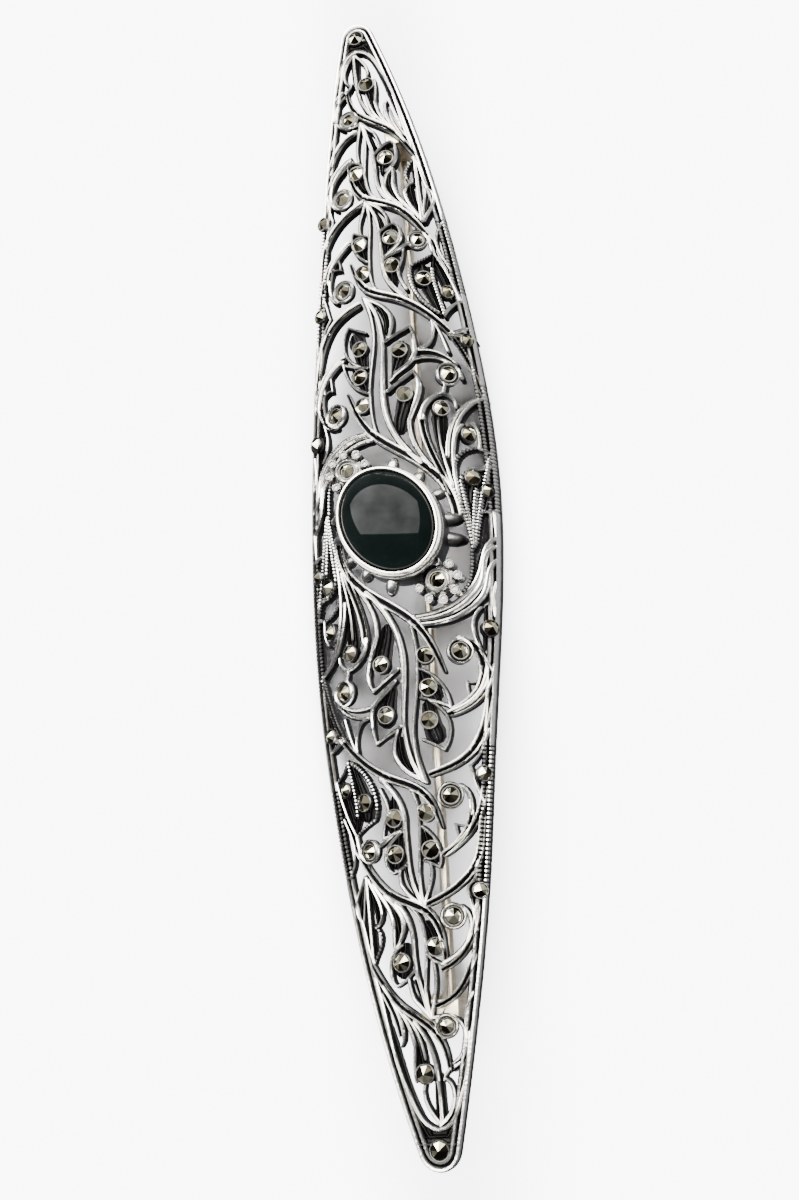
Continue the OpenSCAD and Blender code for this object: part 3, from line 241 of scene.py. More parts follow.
@dataclass(frozen=True)
class Dome:
    """The curved plate. Plan places are kept, and a level is a height above its underside."""

    length: float = 104.0
    width: float = 18.0
    tip_r: float = 1.7
    sway: float = 0.9
    waist: float = 0.3
    sway_room: float = 0.18
    # Bulges of a side: growth, middle along the long axis, spread
    belly: Triple = (0.4, -10.0, 13.0)
    tuck: Triple = (-0.25, 22.0, 14.0)
    hip: Triple = (0.35, -32.0, 11.0)
    radius: float = 11.0
    plate: float = 0.7

    @property
    def axis_z(self) -> float:
        """Height of the dome's axis."""
        return -math.sqrt(self.radius**2 - (self.width / 2) ** 2)

    def height(self, x: np.ndarray, level: np.ndarray) -> np.ndarray:
        """Height of the points at some distance from the long axis and some level, never below the table."""
        return np.maximum(self.axis_z + np.sqrt(np.maximum((self.radius + level) ** 2 - x**2, 0.01)), 0.0)

    def place(self, x: float, y: float, level: float) -> Matrix:
        """Frame of a place on the dome, with Z out of its surface.

        Args:
            x: Distance from the long axis, in millimetres.
            y: Distance along the long axis, in millimetres.
            level: Height above the underside, in millimetres.

        Returns:
            A matrix that takes millimetres to millimetres.
        """
        r = self.radius + level
        tilt = math.asin(x / r)
        at = Vector((x, y, self.axis_z + r * math.cos(tilt)))
        return Matrix.Translation(at) @ Matrix.Rotation(tilt, 4, "Y")

    @property
    def arcs(self) -> Triple:
        """Half length and half width inside the tips, and radius of the sides' arcs."""
        arc_l = self.length / 2 - self.tip_r
        arc_w = self.width / 2 - self.sway_room - self.tip_r
        return arc_l, arc_w, (arc_l**2 + arc_w**2) / (2 * arc_w)

    def swing(self, y: np.ndarray) -> np.ndarray:
        """Share of the sway at some distance along the long axis."""
        return np.sin(2 * math.pi * y / self.length)

    def swell(self, y: np.ndarray, hand: np.ndarray) -> np.ndarray:
        """Extra width of one side: full by the stone on the left, slim above and full below it on the right."""
        bulges = (self.belly, self.tuck, self.hip)
        left, upper, lower = (grow * np.exp(-(((y - middle) / spread) ** 2)) for grow, middle, spread in bulges)
        return np.where(hand < 0, left, upper + lower)

    def right_side(self, y: float, inset: float = 0.0) -> float:
        """Distance of the right side from the long axis, in millimetres."""
        _, arc_w, side_r = self.arcs
        r = side_r + self.tip_r - inset
        u = float(self.swing(np.array(y)))
        return arc_w - side_r + math.sqrt(r * r - y * y) + self.sway * u - self.waist * u * u

    def outline(self, inset: float, marks: np.ndarray) -> np.ndarray:
        """Points of the outline, two swaying arcs that meet in rounded tips.

        Args:
            inset: How far inside the outline the points lie, in millimetres.
            marks: Places round the outline: a side is 0 to 1, a tip 1 to 2, and so on up to 4.

        Returns:
            One plan point for each mark, in millimetres.
        """
        arc_l, arc_w, side_r = self.arcs
        side_a = math.asin(arc_l / side_r)
        turn = np.where(marks >= 2, -1.0, 1.0)
        m = np.where(marks >= 2, marks - 2, marks)
        side = side_a * (2 * m - 1)
        tip = side_a + (math.pi - 2 * side_a) * (m - 1)
        r = side_r + self.tip_r - inset
        t = self.tip_r - inset
        y = np.where(m < 1, r * np.sin(side), arc_l + t * np.sin(tip))
        u = self.swing(y)
        x = np.where(m < 1, arc_w - side_r + r * np.cos(side) - self.waist * u**2, t * np.cos(tip)) + self.sway * u
        x = x + np.where(m < 1, self.swell(y * turn, turn), 0.0)
        return np.stack([x * turn, y * turn], axis=1)


DOME = Dome()


def deselect() -> None:
    """Deselects everything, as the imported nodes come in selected."""
    for item in list(bpy.context.selected_objects):
        item.select_set(False)


def activate(item: Piece) -> None:
    """Makes one object the only selected one and the active one."""
    deselect()
    item.select_set(True)
    bpy.context.view_layer.objects.active = item


@contextmanager
def editing(item: Piece) -> Iterator[None]:
    """Opens an object in edit mode with all of its mesh selected, and closes it afterwards."""
    activate(item)
    bpy.ops.object.mode_set(mode="EDIT")
    bpy.ops.mesh.select_all(action="SELECT")
    yield
    bpy.ops.object.mode_set(mode="OBJECT")


def add_mesh(name: str, points: np.ndarray, faces: list[tuple[int, ...]]) -> Piece:
    """Adds a closed mesh with its faces turned outwards.

    Args:
        name: Name of the new object.
        points: Places of the vertices, in millimetres.
        faces: Vertex numbers of each face.

    Returns:
        The new object.
    """
    mesh = bpy.data.meshes.new(name)
    mesh.from_pydata((np.asarray(points, dtype=float) * MM).tolist(), [], faces)
    work = bmesh.new()
    work.from_mesh(mesh)
    bmesh.ops.recalc_face_normals(work, faces=work.faces)
    work.to_mesh(mesh)
    work.free()
    item = bpy.data.objects.new(name, mesh)
    bpy.context.scene.collection.objects.link(item)
    return item


def loft(name: str, rings: np.ndarray, round_trip: bool = False) -> Piece:
    """Joins a row of rings of points into one closed solid.

    Args:
        name: Name of the new object.
        rings: Places, in millimetres, as rings by points by three.
        round_trip: True if the last ring joins the first, and False for flat ends.

    Returns:
        The new object.
    """
    count, size = rings.shape[:2]
    spans = count if round_trip else count - 1
    faces = []
    for i in range(spans):
        a, b = i * size, ((i + 1) % count) * size
        faces += [(a + j, a + (j + 1) % size, b + (j + 1) % size, b + j) for j in range(size)]
    if not round_trip:
        faces.append(tuple(reversed(range(size))))
        faces.append(tuple((count - 1) * size + j for j in range(size)))
    return add_mesh(name, rings.reshape(-1, 3), faces)


def copy_of(item: Piece, move: Matrix) -> Piece:
    """Gives a copy of a piece with its own mesh, moved by a matrix in metres."""
    twin = item.copy()
    twin.data = item.data.copy()
    bpy.context.scene.collection.objects.link(twin)
    twin.data.transform(move)
    return twin


def place_copy(model: Piece, place: Matrix) -> Piece:
    """Gives a copy of a model with its own mesh, put at a place that is given in millimetres."""
    return copy_of(model, Matrix.Translation(place.to_translation() * MM) @ place.to_3x3().to_4x4())


def apply_modifier(item: Piece, name: str) -> None:
    """Applies one modifier of an object."""
    activate(item)
    bpy.ops.object.modifier_apply(modifier=name)


def share_materials(solids: list[Piece]) -> None:
    """Gives all solids the same list of materials, so that a fused body keeps each one's finish."""
    palette = []
    for item in solids:
        palette += [m for m in item.data.materials if m not in palette]
    for item in solids:
        own = [palette.index(m) for m in item.data.materials] or [0]
        picks = [own[face.material_index] for face in item.data.polygons]
        item.data.materials.clear()
        for material in palette:
            item.data.materials.append(material)
        item.data.polygons.foreach_set("material_index", picks)


def fuse(name: str, solids: list[Piece]) -> Piece:
    """Fuses solids that overlap into one closed body.

    Args:
        name: Name of the body.
        solids: The solids, which are used up.

    Returns:
        The body, named and alone.
    """
    share_materials(solids)
    base, rest = solids[0], solids[1:]
    group = bpy.data.collections.new("to_fuse")
    bpy.context.scene.collection.children.link(group)
    for item in rest:
        bpy.context.scene.collection.objects.unlink(item)
        group.objects.link(item)
    joined = base.modifiers.new("fuse", "BOOLEAN")
    joined.operation = "UNION"
    joined.solver = "MANIFOLD"
    joined.operand_type = "COLLECTION"
    joined.collection = group
    apply_modifier(base, "fuse")
    for item in rest:
        bpy.data.meshes.remove(item.data)
    bpy.data.collections.remove(group)
    base.name = name
    base.data.name = name
    return base


@dataclass(frozen=True)
class Section:
    """Cross-section of a curve: place across, as a share of the width, base level, share of the crest."""

    points: tuple[Triple, ...]

    def mirrored(self) -> np.ndarray:
        """The whole section, from its left half."""
        left = [p for p in self.points if p[0] < 0]
        middle = [p for p in self.points if p[0] == 0]
        right = [(-u, base, crest) for u, base, crest in reversed(left)]
        return np.array(left + middle + right)


SECTIONS = {
    Form.LEAF: Section(((-0.46, 0.0, 0.0), (-0.5, 0.38, 0.0), (-0.36, 0.42, 0.0),
                        (-0.28, 0.5, 0.5), (-0.19, 0.42, 0.0), (-0.08, 0.44, 0.1), (0.0, 0.5, 1.0))),
    Form.WIRE: Section(((-0.46, 0.0, 0.0), (-0.5, 0.48, 0.0), (-0.4, 0.56, 0.4), (-0.22, 0.6, 0.85),
                        (0.0, 0.62, 1.0))),
    Form.STEM: Section(((-0.46, 0.0, 0.0), (-0.5, 0.55, 0.0), (-0.46, 0.62, 0.6),
                        (-0.36, 0.63, 1.0), (-0.24, 0.6, 0.8), (-0.12, 0.48, 0.1), (0.0, 0.45, 0.0))),
    Form.BAND: Section(((-0.46, 0.0, 0.0), (-0.5, 0.46, 0.0), (-0.2, 0.46, 0.0),
                        (-0.14, 0.62, 0.8), (0.0, 0.66, 1.0))),
}
SECTIONS[Form.RIBBED] = SECTIONS[Form.WIRE]
SECTIONS[Form.BEADED] = SECTIONS[Form.STEM]


@dataclass(frozen=True)
class Curve:
    """One curve of the openwork, from a row of the table."""

    row: tuple[float, ...]
    crest: float = 0.42
    full_width: float = 0.45
    step: float = 0.65
    turn_step: float = 14.5
    rib_pitch: float = 0.34
    ribs_per_ring: int = 3
    rib_rise: float = 0.1
    rib_width: float = 0.82
    # Round ends: angle of each ring from the middle of the half circle, and least share of the rise
    caps: tuple[float, ...] = (76.0, 42.0)
    cap_rise: float = 0.35
    edge_gap: float = 0.12

    @property
    def form(self) -> Form:
        """What the curve is made as."""
        return Form(int(self.row[8]))

    @property
    def span(self) -> float:
        """Straight distance between the curve's ends, lengthened for its bend."""
        x0, y0, _, x1, y1 = self.row[:5]
        return 1.1 * math.hypot(x1 - x0, y1 - y0)

    @property
    def ribbed(self) -> bool:
        """Whether the curve has cross ribs."""
        return self.form in (Form.RIBBED, Form.BEADED)

    def shares(self) -> np.ndarray:
        """Even steps along the curve, close together where it has ribs or turns fast."""
        turn = abs((self.row[5] - self.row[2] + 180) % 360 - 180)
        steps = max(3, self.span / self.step, turn / self.turn_step)
        if self.ribbed:
            steps = max(steps, self.ribs_per_ring * round(self.span / self.rib_pitch))
        return np.linspace(0, 1, math.ceil(steps) + 1)

    def kept_inside(self, x: float, y: float, width: float) -> float:
        """Draws the end of a curve in, where its round end would pass the outline."""
        reach = width / 2 + self.edge_gap
        return min(max(x, reach - DOME.right_side(-y)), DOME.right_side(y) - reach)

    def pull(self, heading: float) -> np.ndarray:
        """Speed of the curve at an end, from its heading there in degrees."""
        a = math.radians(heading)
        return self.span * np.array((math.cos(a), math.sin(a)))

    def follow(self, t: np.ndarray) -> tuple[np.ndarray, np.ndarray]:
        """Points of the curve and its directions there."""
        x0, y0, a0, x1, y1, a1, w0, w1 = self.row[:8]
        start = np.array((self.kept_inside(x0, y0, w0), y0))
        end = np.array((self.kept_inside(x1, y1, w1), y1))
        out, into = self.pull(a0), self.pull(a1)
        s = t[:, None]
        point = ((2 * s**3 - 3 * s**2 + 1) * start + (s**3 - 2 * s**2 + s) * out
                 + (3 * s**2 - 2 * s**3) * end + (s**3 - s**2) * into)
        way = ((6 * s**2 - 6 * s) * start + (3 * s**2 - 4 * s + 1) * out
               + (6 * s - 6 * s**2) * end + (3 * s**2 - 2 * s) * into)
        return point, way / np.linalg.norm(way, axis=1)[:, None]

    def build(self) -> Piece:
        """Sweeps the section along the curve, with round ends, and lays it on the dome."""
        t = self.shares()
        point, way = self.follow(t)
        width = self.row[6] + (self.row[7] - self.row[6]) * t
        rise = np.ones(len(t))
        if self.ribbed:
            rib = np.arange(len(t)) % self.ribs_per_ring == 0
            rise = np.where(rib, self.rib_rise, 1.0)
            width = width * np.where(rib, self.rib_width, 1.0)
        angles = np.radians(self.caps)
        first = point[0] - way[0] * width[0] / 2 * np.sin(angles)[:, None]
        last = point[-1] + way[-1] * width[-1] / 2 * np.sin(angles[::-1])[:, None]
        point = np.concatenate([first, point, last])
        way = np.concatenate([np.repeat(way[:1], len(angles), 0), way, np.repeat(way[-1:], len(angles), 0)])
        width = np.concatenate([width[0] * np.cos(angles), width, width[-1] * np.cos(angles[::-1])])
        soft = self.cap_rise + (1 - self.cap_rise) * np.cos(angles)
        rise = np.concatenate([soft, rise, soft[::-1]])
        section = SECTIONS[self.form].mirrored()
        side = np.stack([-way[:, 1], way[:, 0]], axis=1)
        plan = point[:, None, :] + side[:, None, :] * (section[None, :, 0:1] * width[:, None, None])
        crest = self.crest * np.minimum(1.0, width / self.full_width) * rise
        level = section[None, :, 1] + section[None, :, 2] * crest[:, None]
        z = DOME.height(plan[..., 0], level)
        return loft("curve", np.concatenate([plan, z[..., None]], axis=2))


@dataclass(frozen=True)
class Rim:
    """Rim of the openwork: an outer lip, a groove and an inner ridge, milled on some stretches."""

    section: tuple[Pair, ...] = (
        (0.08, 0.0), (0.0, 0.14), (0.0, 0.62), (0.05, 0.88), (0.16, 1.0), (0.3, 0.98), (0.4, 0.72),
        (0.47, 0.55), (0.56, 0.62), (0.66, 0.9), (0.78, 0.92), (0.9, 0.74), (0.98, 0.5), (0.98, 0.14),
        (0.9, 0.0))
    ribbed_from: int = 3
    ribbed_to: int = 11
    step: float = 0.9
    tip_steps: int = 14
    side_end: float = 0.9999
    # Milled stretches along the long axis, and the rings of one rib: share of its pitch, True in its valley
    milled: tuple[Pair, ...] = ((-33.0, -20.0), (0.5, 13.0), (22.0, 30.0))
    rib_rings: tuple[tuple[float, bool], ...] = ((0.2, False), (0.5, True), (0.8, False))
    rib_pitch: float = 0.36
    rib_depth: float = 0.3

    def marks(self) -> tuple[np.ndarray, np.ndarray]:
        """Places of the rings round one side and one tip, and whether each is a rib's valley."""
        places, valleys = [], []
        y = -DOME.length / 2
        while y < DOME.length / 2:
            ribbed = any(low < y < high for low, high in self.milled)
            rings, step = (self.rib_rings, self.rib_pitch) if ribbed else (((0.0, False),), self.step)
            for share, valley in rings:
                places.append(y + step * share)
                valleys.append(valley)
            y += step
        side = np.clip(np.array(places) / DOME.length + 0.5, 0, self.side_end)
        tip = 1 + np.arange(self.tip_steps) / self.tip_steps
        return np.concatenate([side, tip]), np.array(valleys + [False] * self.tip_steps)

    def build(self) -> Piece:
        """Lofts the rim round the whole outline."""
        marks, valleys = self.marks()
        marks = np.concatenate([marks, marks + 2])
        valleys = np.concatenate([valleys, valleys])
        rings = np.empty((len(marks), len(self.section), 3))
        for j, (inset, level) in enumerate(self.section):
            plan = DOME.outline(inset, marks)
            ribbed = self.ribbed_from <= j <= self.ribbed_to
            sink = np.where(valleys, self.rib_depth if ribbed else 0.0, 0.0)
            rings[:, j, :2] = plan
            rings[:, j, 2] = DOME.height(plan[:, 0], np.full(len(marks), level) - sink)
        return loft("rim", rings, round_trip=True)


def pick_faces(item: Piece, low: float, high: float, upward: bool = False) -> None:
    """Selects faces in edit mode by the height of their middle.

    Args:
        item: The object that is being edited.
        low: Lowest height of a face's middle, in millimetres.
        high: Highest height of a face's middle, in millimetres.
        upward: True to take only faces that look up.
    """
    bpy.ops.mesh.select_mode(type="FACE")
    bpy.ops.mesh.select_all(action="DESELECT")
    work = bmesh.from_edit_mesh(item.data)
    for face in work.faces:
        z = face.calc_center_median().z / MM
        if low <= z <= high and (not upward or face.normal.z > 0.9):
            face.select_set(True)
    bmesh.update_edit_mesh(item.data)


def apply_place(item: Piece) -> Piece:
    """Moves an object's place, turn and scale into its mesh."""
    activate(item)
    bpy.ops.object.transform_apply(location=True, rotation=True, scale=True)
    return item


def newest(name: str, scale: Triple = (1, 1, 1)) -> Piece:
    """Names the piece that was added last, and works its place and a scale into its mesh."""
    item = bpy.context.active_object
    item.name = name
    item.scale = scale
    return apply_place(item)


def add_cylinder(name: str, radius: float, low: float, high: float, sides: int) -> Piece:
    """Adds an upright cylinder at the origin.

    Args:
        name: Name of the new object.
        radius: Its radius, in millimetres.
        low: Height of its foot, in millimetres.
        high: Height of its top, in millimetres.
        sides: Number of its sides.

    Returns:
        The new object.
    """
    deselect()
    bpy.ops.mesh.primitive_cylinder_add(
        vertices=sides, radius=radius * MM, depth=(high - low) * MM, location=(0, 0, (low + high) / 2 * MM))
    return newest(name)


def add_ring(name: str, radius: float, wire: float, tall: float, sides: int) -> Piece:
    """Adds a flat-lying ring of wire at the origin.

    Args:
        name: Name of the new object.
        radius: Radius of the ring's middle line, in millimetres.
        wire: Width of the wire, in millimetres.
        tall: Height of the wire, in millimetres.
        sides: Steps round the ring.

    Returns:
        The new object.
    """
    deselect()
    bpy.ops.mesh.primitive_torus_add(
        major_segments=sides, minor_segments=8, major_radius=radius * MM, minor_radius=wire / 2 * MM)
    return newest(name, (1, 1, tall / wire))


def add_bead(name: str, radius: float, tall: float, height: float) -> Piece:
    """Adds a small ball, flattened or stretched, with its middle at a height in millimetres."""
    deselect()
    bpy.ops.mesh.primitive_uv_sphere_add(
        segments=10, ring_count=6, radius=radius * MM, location=(0, 0, height * MM))
    return newest(name, (1, 1, tall / radius))


def drop_all(items: list[Piece]) -> None:
    """Removes pieces that have been copied or cut away."""
    for item in items:
        mesh = item.data
        bpy.data.objects.remove(item)
        bpy.data.meshes.remove(mesh)


def paint(item: Piece, material: Finish) -> Piece:
    """Gives a piece one material."""
    item.data.materials.clear()
    item.data.materials.append(material)
    return item


def inset(width: float, depth: float = 0.0) -> None:
    """Insets the selected faces by a width and moves them out by a depth, in millimetres."""
    bpy.ops.mesh.inset(thickness=width * MM, depth=depth * MM)


@dataclass(frozen=True)
class Setting:
    """Round cup with a thin lip that holds one marcasite. Heights are from the plate's top."""

    stone_r: float
    wall: float = 0.13
    foot: float = -0.5
    lip: float = 0.24
    lip_w: float = 0.03
    slope_w: float = 0.05
    outer_slope: float = 0.06
    inner_slope: float = 0.16
    crease: float = 0.001
    floor: float = -0.02
    sides: int = 16

    def model(self) -> Piece:
        """Makes the cup from a cylinder, with its lip rounded and its well sunk."""
        cup = add_cylinder("cup", self.stone_r + self.wall, self.foot, self.lip - self.outer_slope, self.sides)
        with editing(cup):
            pick_faces(cup, self.lip - self.outer_slope - 0.01, self.lip, upward=True)
            inset(self.slope_w, self.outer_slope)
            inset(self.lip_w)
            inset(self.slope_w, -self.inner_slope)
            inset(self.crease, self.floor - self.lip + self.inner_slope)
        return cup


@dataclass(frozen=True)
class Marcasite:
    """A small cut stone: a girdle, eight facets and a table. Heights are from the plate's top."""

    radius: float
    foot: float = -0.3
    girdle: float = 0.2
    crown: float = 0.58
    table: float = 0.03
    sides: int = 8

    def model(self) -> Piece:
        """Makes the stone from a cylinder, with its top drawn in to the table."""
        stone = add_cylinder("marcasite", self.radius, self.foot, self.girdle, self.sides)
        with editing(stone):
            pick_faces(stone, self.girdle - 0.01, self.girdle + 0.01, upward=True)
            bpy.ops.mesh.extrude_region_move(
                TRANSFORM_OT_translate={"value": (0, 0, self.crown * self.radius * MM)})
            bpy.ops.transform.resize(value=(self.table, self.table, 1))
        return stone


@dataclass
class StoneField:
    """The marcasites in their cups. They are hand-set, so each one's tilt and turn are drawn by chance."""

    radii: Pair = (0.56, 0.66)
    tilt: float = 5.0
    turn: float = 45.0
    chance: random.Random = field(default_factory=lambda: random.Random(11))

    def tumbled(self, place: Matrix) -> Matrix:
        """A place after a small tilt about X, another about Y and any turn about Z, drawn in this order."""
        for axis, least, most in (("X", -self.tilt, self.tilt), ("Y", -self.tilt, self.tilt), ("Z", 0, self.turn)):
            place = place @ Matrix.Rotation(math.radians(self.chance.uniform(least, most)), 4, axis)
        return place

    def build(self, places: list[tuple[Matrix, int]], silver: Finish, stone: Finish) -> list[Piece]:
        """Makes the cups and stones at the given places.

        Args:
            places: Each stone's place in millimetres, and 1 for a large or 0 for a small one.
            silver: Material of the cups, a darkened silver that is painted shade round each stone.
            stone: Material of the stones.

        Returns:
            The solids, ready to be fused.
        """
        solids = []
        cups = [paint(Setting(r).model(), silver) for r in self.radii]
        cuts = [paint(Marcasite(r).model(), stone) for r in self.radii]
        for place, large in places:
            solids.append(place_copy(cups[large], place))
            solids.append(place_copy(cuts[large], self.tumbled(place)))
        drop_all(cups + cuts)
        return solids


@dataclass(frozen=True)
class Rosette:
    """Raised flower of ring-shaped beads round a marcasite, beside the black stone."""

    at: Pair = (3.7, -5.6)
    plate_z: float = 4.4
    bead_z: float = 5.75
    circle: float = 1.72
    first: float = -165.0
    step: float = 43.0
    count: int = 7
    # Wires of the bead rings and of the ring round the marcasite: radius, width, height, sides
    bead_ring: tuple[float, float, float, int] = (0.34, 0.17, 0.4, 16)
    stone_ring: tuple[float, float, float, int] = (0.98, 0.24, 0.44, 28)
    stone_ring_up: float = 0.06
    # Dot in each bead: radius, half height, middle
    dot: Triple = (0.11, 0.16, 0.0)
    # Post under each bead: radius, foot, top, sides
    post: tuple[float, float, float, int] = (0.36, -1.6, -0.06, 12)
    body_r: float = 1.42
    body_slope: Pair = (0.35, 0.2)
    root: float = 0.3
    body_drop: float = 0.25
    stone_drop: float = 0.02

    def at_height(self, z: float, dx: float = 0.0, dy: float = 0.0) -> Matrix:
        """A place at a height over the rosette's middle or off it, in millimetres."""
        return Matrix.Translation((self.at[0] + dx, self.at[1] + dy, z))

    def stone_place(self) -> Matrix:
        """Place of the plate's top under the rosette's own marcasite."""
        return self.at_height(self.bead_z - self.stone_drop)

    def body(self) -> Piece:
        """Makes the low drum that the rosette stands on, with its top edge sloped."""
        top = self.bead_z - self.body_drop
        drum = add_cylinder("rosette_body", self.body_r, self.plate_z - self.root, top, self.stone_ring[3])
        with editing(drum):
            pick_faces(drum, top - 0.01, top + 0.01, upward=True)
            inset(*self.body_slope)
        return drum

    def build(self, silver: Finish, dark: Finish) -> list[Piece]:
        """Makes the bright bead rings and dots on their posts, the cup's ring and the body below; the posts and body
        take the dark finish, which is painted shade under the beads.
        """
        ring = paint(add_ring("bead_ring", *self.bead_ring), silver)
        dot = paint(add_bead("bead_dot", *self.dot), silver)
        post = paint(add_cylinder("bead_post", *self.post), dark)
        rim = paint(add_ring("rosette_ring", *self.stone_ring), silver)
        drum = paint(self.body(), dark)
        solids = []
        for i in range(self.count):
            a = math.radians(self.first + i * self.step)
            place = self.at_height(self.bead_z, self.circle * math.cos(a), self.circle * math.sin(a))
            solids += [place_copy(model, place) for model in (ring, dot, post)]
        solids.append(place_copy(rim, self.at_height(self.bead_z + self.stone_ring_up)))
        solids.append(place_copy(drum, self.at_height(0)))
        drop_all([ring, dot, post, rim, drum])
        return solids


@dataclass(frozen=True)
class Bezel:
    """Tall plain wall round the black stone, with a thin lip bent over its edge."""

    sides: int = 72
    profile: tuple[Pair, ...] = (
        (0.3, 3.95), (0.5, 4.2), (0.5, 6.5), (0.46, 6.75), (0.36, 6.86), (0.27, 6.84), (0.25, 7.0),
        (0.24, 7.2), (0.16, 7.34), (0.04, 7.36), (-0.06, 7.26), (-0.1, 7.08), (-0.06, 6.9), (0.04, 6.7),
        (0.04, 6.05))

    def oval(self, grow: float, z: float) -> np.ndarray:
        """Points of the stone's oval, larger all round by some millimetres, at a height."""
        a = np.arange(self.sides) / self.sides * 2 * math.pi
        x, y = (OVAL_LONG_R + grow) * np.cos(a), (OVAL_SHORT_R + grow) * np.sin(a)
        t = math.radians(OVAL_TURN)
        return np.stack([x * math.cos(t) - y * math.sin(t), x * math.sin(t) + y * math.cos(t),
                         np.full(self.sides, z)], axis=1)

    def build(self, silver: Finish) -> Piece:
        """Lofts the wall, its lip and the floor under the stone."""
        return paint(loft("bezel", np.stack([self.oval(g, z) for g, z in self.profile])), silver)


@dataclass(frozen=True)
class Peg:
    """Thick rounded bar that ties the bezel to the openwork, fuller at its middle."""

    row: tuple[float, float, float, float, float]
    levels: Pair = (0.85, 0.55)
    swell: float = 0.3
    least: float = 0.02
    sides: int = 14
    shares: tuple[float, ...] = (0.0, 0.05, 0.15, 0.3, 0.5, 0.7, 0.85, 0.95, 1.0)

    def build(self, silver: Finish) -> Piece:
        """Lofts the bar between its two ends."""
        x0, y0, x1, y1, d = self.row
        start, end = (Vector((x, y, float(DOME.height(np.array(x), np.array(level)))))
                      for x, y, level in ((x0, y0, self.levels[0]), (x1, y1, self.levels[1])))
        way = (end - start).normalized()
        side = way.cross(Vector((0, 0, 1))).normalized()
        up = side.cross(way)
        angles = [2 * math.pi * i / self.sides for i in range(self.sides)]
        rings = []
        for s in self.shares:
            fall = math.sqrt(max(self.least, 1 - (2 * s - 1) ** 4))
            r = d / 2 * fall * (1 + self.swell * math.sin(math.pi * s))
            middle = start.lerp(end, s)
            rings.append([tuple(middle + r * (math.cos(a) * side + math.sin(a) * up)) for a in angles])
        return paint(loft("peg", np.array(rings)), silver)


def cut(base: Piece, tools: list[Piece]) -> Piece:
    """Cuts solids out of another, and removes them."""
    for tool in tools:
        away = base.modifiers.new("cut", "BOOLEAN")
        away.operation = "DIFFERENCE"
        away.solver = "MANIFOLD"
        away.object = tool
        apply_modifier(base, "cut")
        drop_all([tool])
    return base


def add_block(name: str, low: Triple, high: Triple, rounding: float = 0.0) -> Piece:
    """Adds a block between two corners, with its edges rounded.

    Args:
        name: Name of the new object.
        low: Lowest corner, in millimetres.
        high: Highest corner, in millimetres.
        rounding: Radius of the rounded edges, in millimetres, or 0 for sharp ones.

    Returns:
        The new object.
    """
    deselect()
    middle = [(a + b) / 2 * MM for a, b in zip(low, high)]
    bpy.ops.mesh.primitive_cube_add(size=1, location=middle)
    item = newest(name, [(b - a) * MM for a, b in zip(low, high)])
    if rounding:
        with editing(item):
            bpy.ops.mesh.bevel(offset=rounding * MM, segments=3, affect="EDGES")
    return item


